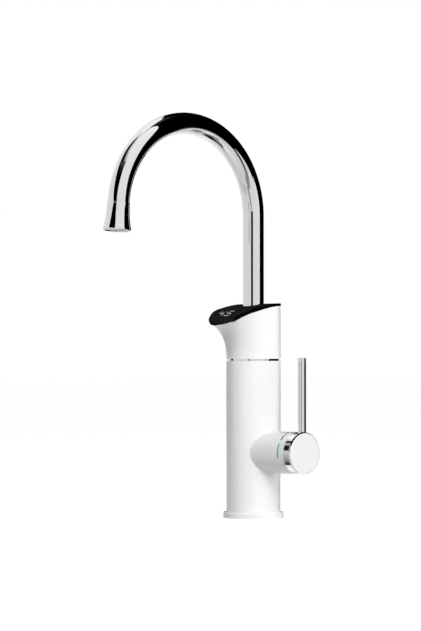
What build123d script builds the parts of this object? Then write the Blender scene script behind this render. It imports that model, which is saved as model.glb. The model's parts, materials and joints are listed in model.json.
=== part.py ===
"""Electric instant water heater tap, built as separate pieces in millimetres.

The origin is the centre of the base's underside, +Z is up, -Y is the front (spout and display)
and +X is the side of the handle. Pieces that turn or slide are drawn at rest: the spout forwards,
the handle closed with its rod upright, and the flow piston on its seat.
"""
import math
import os

from build123d import *

# Clearances
slip = 0.05             # radial, between a piece and the bore it is pushed or screwed into
running = 0.08          # radial, between a moving piece and the bore that guides it
seat_gap = 0.05         # axial, between faces that slide on each other
shell_gap = 0.3         # between outer pieces that move past each other
free_fit = 0.1          # radial, between a screw and the hole it passes through
past = 1.0              # how far a cut runs past the face that it opens
corner_to_flats = math.sqrt(3)  # a hexagon's width across flats for a corner radius of 1

# Outer body
body_r = 26.0
body_wall = 2.4
stub_z = 63.0
tank_h = 52.0
ledge_rise = 43.0         # from the handle's axis to the ledge that carries the tank
tank_sink = 8.0           # how far the tank reaches into the upper housing
flange_reach = 3.0
flange_r = body_r + flange_reach
flange_h = 5.6
flange_web = 2.4
flange_edge = 0.8
trim_h = 2.0
trim_wall = 3.1
trim_spigot = 3.0
trim_spigot_up = 2.4
ledge_top = stub_z + ledge_rise
lower_top = ledge_top + tank_h - tank_sink
upper_base = lower_top + trim_h
bore_r = body_r - body_wall

# Base fittings
base_r = bore_r - 0.2
base_h = 14.0
base_port_r = 9.0
base_boss_r = bore_r - 7.7
gasket_inner_r = bore_r + 1.0
gasket_outer_r = flange_r - 1.6
gasket_h = 1.6
stud_r = 4.0
stud_depth = 11.0
stud_angle = 60.0
inlet_r = 5.0
inlet_depth = 7.0
inlet_angle = 180.0
strainer_h = 1.0
strainer_step = 0.5
strainer_hole_r = 0.7
gland_r = 5.0
gland_nut_r = 6.5
gland_nut_h = 3.5
gland_bore_r = 3.2
gland_recess = 0.5
gland_angle = -60.0
base_screw_pcr = bore_r - 3.8
base_screw_count = 3
base_screw_len = 9.0
base_screw_sink = 0.1
m3_r = 1.5
m3_head_r = 2.8
m3_head_h = 1.8
m4_r = 2.0
m4_head_r = 3.5
m4_head_h = 2.6
m4_len = 7.0
pipe_r = 4.0
pipe_wall = 1.0
pipe_socket = 4.0
block_w = 18.0
block_d = 9.0
block_h = 9.0
block_x = 5.0
block_y = 11.0
block_ways = 3
block_hole_r = 1.6
block_way_z = 3.15
block_edge = 0.6
terminal_sink = 0.8
terminal_slot = 0.6
earth_x = -11.0
earth_y = 12.0

# Handle stub on the lower housing
stub_r = 20.0
stub_wall = 2.4
stub_end = body_r + 36.6
stub_step = 1.0
stub_root_fillet = 1.6
bulkhead_x = body_r - 8.0
bulkhead_t = 2.5
socket_wall = 2.0

# Valve
valve_r = 14.0
valve_back = -bulkhead_x + 1.0
valve_chamber_r = 5.0
valve_chamber_back = -14.0
valve_seat_x = -6.0
valve_bore_r = 9.5
valve_gallery_r = 11.0
valve_gallery_front = 6.0
valve_port_r = 3.2
valve_inlet_boss_r = 7.0
valve_inlet_boss_drop = 17.5
valve_top_boss_rise = 15.0
disc_seal_t = 2.0
disc_seal_inner_r = 6.9
ceramic_t = 3.0
ceramic_hub_r = 2.0
ceramic_window_r = 6.6
ceramic_web = 0.5
sleeve_wall = 0.8
driver_t = 2.9
driver_window = 2.6
driver_window_w = 6.0
driver_slot_w = 3.0
driver_slot_d = 1.75
stem_r = 4.0
stem_end = stub_end - 2.6
stem_clip_r = 6.5
stem_clip_t = 0.8
clip_groove = 0.6
oring_groove = 1.0
oring_first_x = 11.0
oring_pitch_x = 4.0
bush_hex_af = 24.0
bush_hex_h = 4.5
bush_neck_r = 8.0
bush_end = bulkhead_x + 20.0

# Handle
ring_len = 8.7
ring_edge = 1.5
ring_hub_r = 9.0
ring_hub_len = 12.9
ring_floor = 6.0
cap_wall = 1.8
cap_t = 1.7
cap_recess = 0.1
rod_r = 3.9
rod_over_trim = 2.8
rod_top = lower_top + rod_over_trim
rod_inset = 4.35
rod_pocket = 1.0
rod_tail_r = 2.2
rod_tail_len = 8.0
rod_edge = 0.35
handle_screw_len = 14.0
guide_len = 7.0
guide_recess = 1.6
stop_pin_r = 1.5
stop_pcr = 13.0
stop_travel = 100.0
stop_slot_depth = 4.5

# Flow switch
switch_r = 7.8
switch_bore_r = 5.5
switch_seat_rise = 19.0
switch_seat_z = stub_z + switch_seat_rise
switch_top_wall = 3.0
switch_spigot_r = 4.9
switch_spigot_len = 4.0
piston_len = 10.0
flute_r = 1.2
magnet_r = 3.0
magnet_len = 5.0
magnet_floor = 3.0
spring_r = 4.3
spring_wire = 0.8
spring_turns = 5
reed_r = 1.25
reed_len = 12.0
reed_wall = 1.3
reed_gap = 0.4
reed_clip_h = 6.0
reed_clip_rise = 2.0
reed_clip_z = switch_seat_z + reed_clip_rise
reed_clip_t = 1.2
reed_clip_mouth = 6.0

# Tank and heater
ledge_t = 3.0
tank_r = bore_r - 5.8
ledge_inner_r = tank_r - 1.2
tank_wall = 0.8
tank_flange_r = bore_r - 0.6
tank_flange_t = 3.0
cover_t = 4.0
tank_seal_r = tank_r - 0.5
tank_seal_w = 1.6
tank_seal_h = 1.4
tank_screw_pcr = tank_r + 2.6
tank_screw_count = 4
tank_screw_len = 6.5
tank_screw_head_r = 2.4
leg_pcr = tank_r - 5.5
element_r = 2.0
element_drop = (11.0, 17.0)
element_top = tuple(ledge_top + tank_h - drop for drop in element_drop)
bush_r = 3.0
bush_flange_r = 3.9
bush_flange_t = 2.0
bush_tail = 5.0
heater_nut_t = 3.2
pin_r = 0.9
pin_len = 6.0
probe_y = tank_r - 4.4
probe_r = 1.5
probe_hex_af = 4.8
probe_depth = 14.0
probe_head = 3.2
probe_top = 6.0
cutout_w = 8.0
cutout_t = 3.6
cutout_h = 20.0
cutout_rise = 9.0
cutout_z = ledge_top + cutout_rise
strap_t = 0.4
strap_h = 6.0

# Power electronics
board_t = 1.6
board_w = 20.0
board_rise = 16.0
board_z = stub_z + board_rise
board_h = 23.0
board_back = bore_r - 3.7
boss_r = 3.0
boss_pilot_len = 3.2
board_screw_drop = 5.0
screw_r = 0.9
screw_head_r = 1.7
screw_head_h = 1.2
screw_len = 4.2
triac_w = 10.0
triac_h = 15.0
triac_t = 4.5
triac_body_h = 9.3
triac_tab_t = 1.3
triac_hole_z = 12.0
triac_edge = 0.5

# Spout socket on the tank cover
socket_spigot_r = 8.0
socket_neck_r = 10.0
socket_neck_h = 7.5
socket_r = 13.2
socket_rise = 46.0
socket_top = upper_base + socket_rise
socket_port_r = 5.0
socket_bore_r = 11.0
socket_floor = 1.0
tail_lift = 0.5
tail_top = socket_top - 2.0
tail_bore_r = 7.5
tail_joint = 12.0
tail_ring_first = 3.0
tail_ring_pitch = 5.0
ring_section = 1.8
tail_groove_drop = 16.0
tail_groove_z = socket_top - tail_groove_drop
tail_groove_w = 3.6
tail_groove_depth = 1.3
lock_r = 2.0
lock_tip_r = 1.4
lock_sink = 0.2
lock_key = 1.2
shelf_drop = 13.0
shelf_z = socket_top - shelf_drop
shelf_t = 2.5
shelf_r = bore_r + 0.8
wire_slot_w = 16.0
wire_slot_d = 6.0
nut_hex_af = 29.0
nut_h = 4.5

# Spout
tube_r = 10.0
tube_wall = 1.0
straight_rise = 137.0     # from the foot of the upper housing to the start of the bend
bend_start = upper_base + straight_rise
bend_r = 84.4
bend_sweep = 175.5
nozzle_len = 26.2
nozzle_top_r = 10.5
nozzle_end_r = 13.2
nozzle_lip_edge = 1.5     # rounding of the lip's outer edge
nozzle_joint = 6.0
nozzle_bore_r = 8.6
aerator_r = 11.2
aerator_len = 9.6
aerator_recess = 1.0
aerator_wall = 1.2
washer_t = 1.5
washer_bore_r = 8.0
insert_hole_r = 0.8

# Flared upper housing and display cap
flare_start = upper_base + 2.0
flare_r = 30.1
flare_turn = 77.7
flare_tilt = 25.4
flare_straight = 18.0
flare_handle = 17.0
flare_nose = 12.0
flare_steps = 5
flare_lift = 4.0
rim_rise = (50.9, 49.4, 44.9, 40.7, 35.1, 31.7)  # above the upper housing's foot, from back to tip
rim_bend_in = 6.0
rim_reach = (6.0, 16.0, 23.7)                    # in front of the body tube, at slope, front and tip
rim_back = (body_r, upper_base + rim_rise[0])
rim_middle = (0.0, upper_base + rim_rise[1])
rim_bend = (-body_r + rim_bend_in, upper_base + rim_rise[2])
rim_slope = (-body_r - rim_reach[0], upper_base + rim_rise[3])
rim_front = (-body_r - rim_reach[1], upper_base + rim_rise[4])
rim_tip = (-body_r - rim_reach[2], upper_base + rim_rise[5])
rim_margin = 8.0
cap_back_t = 2.4
cap_front_t = 3.85
cap_side = 0.4
cap_nose = 1.6
cap_hole_gap = 0.4
skirt_t = 1.4
skirt_gap = 0.25
skirt_depth = 4.0
skirt_pull = 4.0
skirt_front_y = -body_r + 10.0
skirt_root = 0.2
window_inset = 2.6
window_t = 1.0
window_back_r = 15.5
window_back_y = -2.0
window_gap = 0.03
display_front_y = -body_r - 10.0
display_back_y = display_front_y + 15.5
display_drop = 5.2
display_w = 24.0
display_pcb_t = 1.6
display_corner = 6.0
digits_w = 15.0
digits_front_y = display_front_y + 1.0
digits_back_y = digits_front_y + 12.0
digits_gap = 0.2
post_r = 2.0
post_x = 9.8

quarter = 4 / 3 * math.tan(math.radians(90) / 4)


def disc(radius, low, high):
    """A solid cylinder on the Z axis between two heights."""
    return Pos(0, 0, low) * Cylinder(radius, high - low, align=(Align.CENTER, Align.CENTER, Align.MIN))


def tube(outer, inner, low, high):
    """A ring on the Z axis between two heights."""
    return disc(outer, low, high) - disc(inner, low - 1, high + 1)


def hexagon(across_flats, low, high):
    """A hexagonal prism on the Z axis between two heights."""
    flat = RegularPolygon(across_flats / 2, 6, major_radius=False)
    return Pos(0, 0, low) * extrude(flat, high - low)


def block(x_size, y_size, z_size, x=0.0, y=0.0, z=0.0):
    """A box centred in plan at x, y that stands on height z."""
    return Pos(x, y, z) * Box(x_size, y_size, z_size, align=(Align.CENTER, Align.CENTER, Align.MIN))


def on_handle_axis(shape):
    """Turn a piece drawn along Z so that it lies along the handle's axis, outwards to +X."""
    return Pos(0, 0, stub_z) * Rot(0, 90, 0) * shape


def around(count, radius, shape, first=0.0):
    """Copies of a shape at equal angles on a circle."""
    step = 360 / count
    return [Rot(0, 0, first + step * i) * Pos(radius, 0, 0) * shape for i in range(count)]


def polar(radius, angle):
    """The plan point at a radius and an angle."""
    return radius * math.cos(math.radians(angle)), radius * math.sin(math.radians(angle))


def countersunk(radius, head_r, head_h, length):
    """A countersunk screw with its head's face at the origin, pointing up."""
    socket = hexagon(radius * 1.3, -past, head_h * 0.7)
    return Cone(head_r, radius, head_h, align=(Align.CENTER, Align.CENTER, Align.MIN)) \
        + disc(radius, 0, length) - socket


def pan_head(radius, head_r, head_h, length):
    """A pan-head screw that points down, with its head's underside at the origin."""
    head = disc(head_r, 0, head_h)
    head = fillet(head.edges().group_by(Axis.Z)[-1], head_h * 0.45)
    return head + disc(radius, -length, 0) - hexagon(radius * 1.4, head_h * 0.4, head_h + 1)


def o_ring(centre_r, section_r, height):
    """A rubber ring of round section at a height on the Z axis."""
    return Pos(0, 0, height) * Torus(centre_r, section_r)


# Base and its fittings

def make_base_flange():
    body = disc(flange_r, 0, flange_h)
    body = fillet(body.edges().group_by(Axis.Z)[-1], flange_edge)
    body -= disc(base_boss_r + slip, -1, flange_h)
    body -= disc(bore_r, flange_web, flange_h + 1)
    body -= tube(gasket_outer_r + slip, gasket_inner_r - slip, -1, gasket_h)
    hole = disc(m3_r + free_fit, -1, flange_h)
    sink_r = m3_head_r + free_fit
    sink = Cone(sink_r + 1, m3_r + free_fit, m3_head_h + 1, align=(Align.CENTER, Align.CENTER, Align.MIN))
    for cut in around(base_screw_count, base_screw_pcr, hole + Pos(0, 0, base_screw_sink - 1) * sink):
        body -= cut
    return body


def make_base_gasket():
    return tube(gasket_outer_r, gasket_inner_r, 0, gasket_h)


def make_mounting_base():
    body = disc(base_boss_r, 0, flange_web) + disc(base_r, flange_web, base_h)
    stud_x, stud_y = polar(base_port_r, stud_angle)
    body -= Pos(stud_x, stud_y, 0) * disc(stud_r, -1, stud_depth)
    inlet_x, inlet_y = polar(base_port_r, inlet_angle)
    inlet = disc(inlet_r, -1, inlet_depth)
    inlet += disc(inlet_r - strainer_step, 0, inlet_depth + strainer_h)
    inlet += disc(pipe_r - pipe_wall, 0, base_h)
    inlet += disc(pipe_r + slip, base_h - pipe_socket, base_h + 1)
    body -= Pos(inlet_x, inlet_y, 0) * inlet
    gland_x, gland_y = polar(base_port_r, gland_angle)
    body -= Pos(gland_x, gland_y, 0) * disc(gland_r, -1, base_h + 1)
    for cut in around(base_screw_count, base_screw_pcr, disc(m3_r + slip, 0, base_screw_len + 1)):
        body -= cut
    body -= Pos(earth_x, earth_y, 0) * disc(m4_r + slip, base_h - m4_len, base_h + 1)
    return body


def make_base_screws():
    screw = Pos(0, 0, base_screw_sink) * countersunk(m3_r, m3_head_r, m3_head_h, base_screw_len)
    return around(base_screw_count, base_screw_pcr, screw)


def make_cable_gland():
    x, y = polar(base_port_r, gland_angle)
    body = disc(gland_r - slip, gland_recess, base_h)
    body += hexagon(gland_nut_r * corner_to_flats, base_h, base_h + gland_nut_h)
    body -= disc(gland_bore_r, 0, base_h + gland_nut_h + 1)
    return Pos(x, y, 0) * body


def make_inlet_strainer():
    x, y = polar(base_port_r, inlet_angle)
    body = disc(inlet_r - strainer_step - slip, inlet_depth, inlet_depth + strainer_h)
    hole = disc(strainer_hole_r, 0, base_h)
    for ring_r, count in ((0.0, 1), (1.6, 6)):
        for cut in around(count, ring_r, hole):
            body -= cut
    return Pos(x, y, 0) * body


def make_inlet_pipe():
    x, y = polar(base_port_r, inlet_angle)
    bottom = base_h - pipe_socket
    top = stub_z - valve_inlet_boss_drop + pipe_socket
    return Pos(x, y, 0) * tube(pipe_r, pipe_r - pipe_wall, bottom, top)


def block_way_x(index):
    """The place across the terminal block of one of its ways."""
    return (index - (block_ways - 1) / 2) * block_w / block_ways


def make_terminal_block():
    body = block(block_w, block_d, block_h)
    body = fillet(body.edges().group_by(Axis.Z)[-1], block_edge)
    for i in range(block_ways):
        body -= Pos(block_way_x(i), 0, block_way_z) * Rot(90, 0, 0) * Cylinder(block_hole_r, block_d + 2)
        body -= Pos(block_way_x(i), 0, 0) * disc(m3_r + slip + 0.4, block_way_z, block_h + 1)
    return Pos(block_x, block_y, base_h) * body


def make_terminal_screws():
    top = block_h - terminal_sink
    screw = disc(m3_r, block_way_z, top)
    screw -= block(m3_r * 2 + past, terminal_slot, terminal_slot + past, z=top - terminal_slot)
    return [Pos(block_x + block_way_x(i), block_y, base_h) * screw for i in range(block_ways)]


def make_earth_screw():
    return Pos(earth_x, earth_y, base_h) * pan_head(m4_r, m4_head_r, m4_head_h, m4_len)


# Lower housing

def make_lower_housing():
    outer = disc(body_r, flange_h, lower_top)
    stub = on_handle_axis(disc(stub_r, 0, stub_end))
    body = outer + stub
    joint = [e for e in body.edges() if e.geom_type not in (GeomType.CIRCLE, GeomType.LINE)]
    body = fillet(joint, stub_root_fillet)
    body -= disc(bore_r, flange_h - 1, lower_top + 1)
    stub_bore = stub_r - stub_wall - stub_step
    body += on_handle_axis(disc(stub_bore + socket_wall, bulkhead_x, body_r + 1))
    body -= on_handle_axis(disc(stub_bore, bulkhead_x + bulkhead_t, stub_end + 1))
    body -= on_handle_axis(disc(stub_bore + stub_step, stub_end - guide_recess - guide_len, stub_end + 1))
    body -= on_handle_axis(disc(valve_bore_r + slip, bulkhead_x - 1, bulkhead_x + bulkhead_t + 1))
    ledge = tube(bore_r + body_wall / 2, ledge_inner_r, ledge_top - ledge_t, ledge_top)
    boss = Pos(0, board_back, board_z + board_h - board_screw_drop) * Rot(-90, 0, 0) \
        * disc(boss_r, 0, bore_r + 1 - board_back)
    pilot = Pos(0, board_back, board_z + board_h - board_screw_drop) * Rot(-90, 0, 0) \
        * disc(screw_r + slip, -1, boss_pilot_len)
    return body + ledge + boss - pilot


def make_trim_band():
    body = tube(body_r, body_r - body_wall - trim_wall, lower_top, upper_base)
    body += tube(bore_r - slip * 2, bore_r - trim_wall, lower_top - trim_spigot, upper_base + trim_spigot_up)
    return body


# Valve, drawn along Z and turned onto the handle's axis

def make_valve_body():
    body = on_handle_axis(disc(valve_r, valve_back, bulkhead_x))
    inlet_x = -base_port_r
    boss_low = stub_z - valve_inlet_boss_drop
    body += Pos(inlet_x, 0, 0) * disc(valve_inlet_boss_r, boss_low, stub_z)
    boss_top = stub_z + valve_top_boss_rise
    body += disc(switch_r, stub_z, boss_top)
    body -= on_handle_axis(disc(valve_chamber_r, valve_chamber_back, valve_seat_x + 1))
    body -= on_handle_axis(disc(valve_bore_r, valve_seat_x, bulkhead_x + 1))
    gallery_back = valve_seat_x + disc_seal_t + ceramic_t / 2
    body -= on_handle_axis(disc(valve_gallery_r, gallery_back, valve_gallery_front))
    body -= Pos(inlet_x, 0, 0) * disc(valve_port_r, boss_low, stub_z)
    body -= Pos(inlet_x, 0, 0) * disc(pipe_r + slip, boss_low - 1, boss_low + pipe_socket)
    body -= disc(valve_port_r, stub_z, boss_top)
    body -= disc(switch_spigot_r + slip, boss_top - switch_spigot_len, boss_top + 1)
    return body


def sleeve_bore():
    """The radius inside the headpart's sleeve, which holds the ceramic discs."""
    return valve_bore_r - slip - sleeve_wall


def disc_stack():
    """Where the fixed disc, the moving disc and the stem's driver begin, along the handle's axis."""
    fixed = valve_seat_x + disc_seal_t
    moving = fixed + ceramic_t + seat_gap
    driver = moving + ceramic_t
    return fixed, moving, driver


def make_disc_seal():
    seal = tube(valve_bore_r - slip, disc_seal_inner_r, valve_seat_x, valve_seat_x + disc_seal_t)
    return on_handle_axis(seal)


def butterfly(radius, low, high, turn):
    """A ceramic disc with two opposite quarter windows."""
    body = disc(radius, low, high)
    ring = tube(ceramic_window_r, ceramic_hub_r, low - 1, high + 1)
    reach = ceramic_window_r + 1
    for side in (0, 180):
        middle = reach / 2 + ceramic_web
        corner = block(reach, reach, high - low + 2 * past, x=middle, y=middle, z=low - past)
        wedge = Rot(0, 0, turn + side) * corner
        body -= ring & wedge
    return body


def make_fixed_disc():
    fixed, _, _ = disc_stack()
    return on_handle_axis(butterfly(sleeve_bore() - slip, fixed, fixed + ceramic_t, 0))


def make_moving_disc():
    _, moving, _ = disc_stack()
    body = butterfly(sleeve_bore() - running * 2, moving, moving + ceramic_t, 90)
    return on_handle_axis(body)


def make_headpart_bush():
    fixed, _, driver = disc_stack()
    hex_low = bulkhead_x + bulkhead_t
    body = disc(valve_bore_r - slip, fixed, hex_low)
    body += hexagon(bush_hex_af, hex_low, hex_low + bush_hex_h)
    body += disc(bush_neck_r, hex_low, bush_end)
    body -= disc(sleeve_bore(), fixed - 1, driver + driver_t + seat_gap)
    body -= disc(stem_r + running, fixed, bush_end + 1)
    window_low = driver + free_fit
    for side in (0, 90):
        slot = block(bush_hex_af, driver_window_w, driver_window, z=window_low)
        body -= Rot(0, 0, side) * slot & disc(valve_bore_r + 1, window_low, window_low + driver_window)
    return on_handle_axis(body)


def make_valve_stem():
    _, _, driver = disc_stack()
    head = disc(sleeve_bore() - running * 2, driver, driver + driver_t)
    head -= Rot(0, 0, 45) * block(driver_slot_w, sleeve_bore() * 2, driver_slot_d + past, z=driver - past)
    body = head + disc(stem_r, driver + driver_t, stem_end)
    for i in range(2):
        x = oring_first_x + oring_pitch_x * i
        body -= tube(stem_r + 1, stem_r - oring_groove, x, x + oring_groove * 1.5)
    body -= tube(stem_r + 1, stem_r - clip_groove, bush_end + shell_gap, bush_end + shell_gap + stem_clip_t)
    body -= disc(m4_r, stem_end - handle_screw_len + ring_floor, stem_end + 1)
    return on_handle_axis(body)


def make_stem_orings():
    ring = o_ring(stem_r - oring_groove / 2, oring_groove / 2, 0)
    centres = [oring_first_x + oring_pitch_x * i + oring_groove * 0.75 for i in range(2)]
    return [on_handle_axis(Pos(0, 0, x) * ring) for x in centres]


def make_stem_clip():
    low = bush_end + shell_gap
    body = tube(stem_clip_r, stem_r - clip_groove + slip, low, low + stem_clip_t)
    body -= block(stem_clip_r, stem_r, stem_clip_t + 2, x=stem_clip_r / 2 + stem_r - 1.5, z=low - 1)
    return on_handle_axis(body)


# Handle

def ring_back():
    """Where the chrome ring starts, along the handle's axis."""
    return stub_end + shell_gap


def stop_slot(inner_r, outer_r, low, high):
    """The curved slot that the handle's stop pin travels in."""
    reach = stub_r
    first, last = 180, 180 + stop_travel
    start, middle, end = [polar(reach, first + stop_travel * share) for share in (0, 0.5, 1)]
    wedge = Wire([Line((0, 0), start), ThreePointArc(start, middle, end), Line(end, (0, 0))])
    sector = Pos(0, 0, low) * extrude(Face(wedge), high - low)
    slot = tube(outer_r, inner_r, low, high) & sector
    for angle in (first, last):
        x, y = polar(stop_pcr, angle)
        slot += Pos(x, y, 0) * disc((outer_r - inner_r) / 2, low, high)
    return slot


def make_handle_guide():
    front = stub_end - guide_recess
    body = tube(stub_r - stub_wall - slip, ring_hub_r + running, front - guide_len, front)
    half = stop_pin_r + shell_gap
    body -= stop_slot(stop_pcr - half, stop_pcr + half, front - stop_slot_depth, front + 1)
    return on_handle_axis(body)


def make_handle_ring():
    back = ring_back()
    front = back + ring_len
    body = disc(stub_r, back, front)
    body = fillet(body.edges().group_by(Axis.Z)[-1], ring_edge)
    body += disc(ring_hub_r, back - ring_hub_len, back)
    body -= disc(stub_r - cap_wall, front - cap_t - cap_recess, front + 1)
    body -= disc(stem_r + slip, back - ring_hub_len - 1, stem_end)
    body -= disc(m4_r + 0.2, stem_end - 1, front)
    body -= disc(m4_head_r + 0.3, stem_end + ring_floor, front)
    pin_x, pin_y = polar(stop_pcr, 180)
    pin_low = stub_end - guide_recess - stop_slot_depth + 1
    body += Pos(pin_x, pin_y, 0) * disc(stop_pin_r, pin_low, back + 1)
    body = on_handle_axis(body)
    rod_x = back + rod_inset
    top = stub_z + stub_r
    body -= Pos(rod_x, 0, 0) * disc(rod_r + slip, top - rod_pocket, top + 1)
    body -= Pos(rod_x, 0, 0) * disc(rod_tail_r + slip, top - rod_pocket - rod_tail_len, top)
    return body


def make_handle_screw():
    low = stem_end + ring_floor
    return on_handle_axis(Pos(0, 0, low) * pan_head(m4_r, m4_head_r, m4_head_h, handle_screw_len))


def make_handle_cap():
    front = ring_back() + ring_len - cap_recess
    body = disc(stub_r - cap_wall - slip, front - cap_t, front)
    return on_handle_axis(body)


def make_lever_rod():
    x = ring_back() + rod_inset
    foot = stub_z + stub_r - rod_pocket
    body = disc(rod_r, foot, rod_top)
    body = fillet(body.edges().group_by(Axis.Z)[-1], rod_edge)
    body += disc(rod_tail_r, foot - rod_tail_len, foot)
    return Pos(x, 0, 0) * body


# Flow switch, upright between the valve and the tank

def make_switch_body():
    low = stub_z + valve_top_boss_rise
    body = disc(switch_r, low, ledge_top)
    body += disc(switch_spigot_r, low - switch_spigot_len, low)
    body += disc(switch_spigot_r, ledge_top, ledge_top + switch_spigot_len)
    body -= disc(valve_port_r, low - switch_spigot_len - 1, ledge_top + switch_spigot_len + 1)
    body -= disc(switch_bore_r, switch_seat_z, ledge_top - switch_top_wall)
    return body


def make_flow_piston():
    low = switch_seat_z + seat_gap
    body = disc(switch_bore_r - running, low, low + piston_len)
    body -= disc(magnet_r + slip, low + magnet_floor, low + piston_len + 1)
    for side in range(4):
        flute = Pos(switch_bore_r, 0, 0) * disc(flute_r, low - past, low + piston_len + past)
        body -= Rot(0, 0, 45 + 90 * side) * flute
    return body


def make_piston_magnet():
    low = switch_seat_z + seat_gap + magnet_floor
    return disc(magnet_r, low, low + magnet_len)


def make_return_spring():
    low = switch_seat_z + seat_gap + piston_len + spring_wire / 2 + seat_gap
    high = ledge_top - switch_top_wall - spring_wire / 2 - seat_gap
    pitch = (high - low) / spring_turns
    path = Helix(pitch, high - low, spring_r)
    section = Plane(path @ 0, z_dir=path % 0) * Circle(spring_wire / 2)
    print("return spring, gap between its turns:", round(pitch - spring_wire, 2))
    return Pos(0, 0, low) * sweep(section, path)


def reed_y():
    """How far in front of the axis the reed switch stands."""
    return -(switch_r + reed_clip_t + reed_r + reed_gap)


def make_reed_clip():
    low = reed_clip_z
    body = tube(switch_r + slip + reed_clip_t, switch_r + slip, low, low + reed_clip_h)
    lug = block(2 * (reed_r + reed_wall), 2 * (reed_r + reed_wall), reed_clip_h, y=reed_y(), z=low)
    body += lug - disc(switch_r + slip + free_fit, low - 1, low + reed_clip_h + 1)
    body -= Pos(0, reed_y(), 0) * disc(reed_r + slip, low - 1, low + reed_clip_h + 1)
    mouth = block(reed_clip_mouth, reed_clip_mouth, reed_clip_h + 2 * past, y=switch_r + reed_clip_t)
    body -= Pos(0, 0, low - past) * mouth
    return body


def make_reed_switch():
    low = reed_clip_z + reed_clip_h / 2 - reed_len / 2
    body = disc(reed_r, low, low + reed_len)
    body = fillet(body.edges(), reed_r * 0.6)
    return Pos(0, reed_y(), 0) * body


# Tank and heater

def tank_top():
    """The height of the tank's open top, where its cover lies."""
    return ledge_top + tank_h


def make_tank_shell():
    top = tank_top()
    body = disc(tank_r, ledge_top, top)
    body = fillet(body.edges().group_by(Axis.Z)[0], tank_wall * 0.9)
    body += disc(tank_flange_r, top - tank_flange_t, top)
    body -= disc(tank_r - tank_wall, ledge_top + tank_wall, top + 1)
    body -= disc(switch_spigot_r + slip, ledge_top - 1, ledge_top + tank_wall + 1)
    for cut in around(4, leg_pcr, disc(bush_r + slip, ledge_top - 1, ledge_top + tank_wall + 1)):
        body -= cut
    hole = disc(m3_r + slip, top - tank_flange_t - past, top + past)
    for cut in around(tank_screw_count, tank_screw_pcr, hole, 45):
        body -= cut
    return body


def make_tank_cover():
    low = tank_top()
    body = disc(tank_flange_r, low, low + cover_t)
    body -= tube(tank_seal_r + tank_seal_w + slip, tank_seal_r - slip, low - 1, low + tank_seal_h)
    body -= disc(socket_spigot_r + slip, low - 1, low + cover_t + 1)
    body -= Pos(0, probe_y, 0) * disc(probe_r + slip, low - 1, low + cover_t + 1)
    hole = disc(m3_r + free_fit, low - past, low + cover_t + past)
    for cut in around(tank_screw_count, tank_screw_pcr, hole, 45):
        body -= cut
    return body


def make_tank_seal():
    low = tank_top()
    return tube(tank_seal_r + tank_seal_w, tank_seal_r, low, low + tank_seal_h)


def make_tank_screws():
    top = tank_top() + cover_t
    screw = Pos(0, 0, top) * pan_head(m3_r, tank_screw_head_r, m3_head_h, tank_screw_len)
    return around(tank_screw_count, tank_screw_pcr, screw, 45)


def make_element(top, turn):
    """One hairpin heating element: two upright legs and a half circle between them."""
    low = ledge_top - bush_tail
    start = (leg_pcr, 0, low)
    left_foot = Line(start, (leg_pcr, 0, top - leg_pcr))
    bend = ThreePointArc((leg_pcr, 0, top - leg_pcr), (0, 0, top), (-leg_pcr, 0, top - leg_pcr))
    right_foot = Line((-leg_pcr, 0, top - leg_pcr), (-leg_pcr, 0, low))
    path = Wire([left_foot, bend, right_foot])
    section = Plane(start, z_dir=(0, 0, 1)) * Circle(element_r)
    body = sweep(section, path)
    for side in (-1, 1):
        body += Pos(side * leg_pcr, 0, 0) * disc(pin_r, low - pin_len, low)
    return Rot(0, 0, turn) * body


def make_heater_bushes():
    body = disc(bush_r, ledge_top - bush_tail, ledge_top + tank_wall)
    body += disc(bush_flange_r, ledge_top + tank_wall, ledge_top + tank_wall + bush_flange_t)
    body -= disc(element_r + slip, ledge_top - bush_tail - 1, ledge_top + tank_wall + bush_flange_t + 1)
    return around(4, leg_pcr, body)


def make_heater_nuts():
    nut = hexagon(bush_flange_r * corner_to_flats, ledge_top - heater_nut_t, ledge_top)
    nut -= disc(bush_r + slip, ledge_top - heater_nut_t - 1, ledge_top + 1)
    return around(4, leg_pcr, nut)


def make_temperature_probe():
    low = tank_top() + cover_t
    body = disc(probe_r, low - cover_t - probe_depth, low)
    body += hexagon(probe_hex_af, low, low + probe_head)
    body += disc(probe_r, low, low + probe_top)
    return Pos(0, probe_y, 0) * body


def cutout_y():
    """The middle of the thermal cut-out, which lies flat against the tank's front."""
    return -(tank_r + cutout_t / 2 + slip)


def make_thermal_cutout():
    body = block(cutout_w, cutout_t, cutout_h, y=cutout_y(), z=cutout_z)
    return fillet(body.edges().filter_by(Axis.Z), 0.8)


def make_cutout_strap():
    middle = cutout_z + cutout_h / 2
    form = Circle(tank_r + slip) + Pos(0, cutout_y()) * Rectangle(cutout_w + 2 * slip, cutout_t + 2 * slip)
    form = make_hull(form.edges())
    band = offset(form, strap_t, kind=Kind.ARC) - form
    return Pos(0, 0, middle - strap_h / 2) * extrude(band, strap_h)


# Power electronics behind the flow switch

def board_screw_z():
    """The height of the screw that holds the power board."""
    return board_z + board_h - board_screw_drop


def make_power_board():
    body = block(board_w, board_t, board_h, y=board_back - board_t / 2, z=board_z)
    body -= Pos(0, board_back, board_screw_z()) * Rot(90, 0, 0) * Cylinder(screw_r + free_fit, board_t * 4)
    return body


def make_board_screws():
    screw = pan_head(screw_r, screw_head_r, screw_head_h, screw_len)
    rear = Pos(0, board_back - board_t, board_screw_z()) * Rot(90, 0, 0) * screw
    place, _ = display_plane()
    under = [place * Pos(side * post_x, 0, -display_pcb_t) * Rot(180, 0, 0) * screw for side in (-1, 1)]
    return [rear] + under


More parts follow.
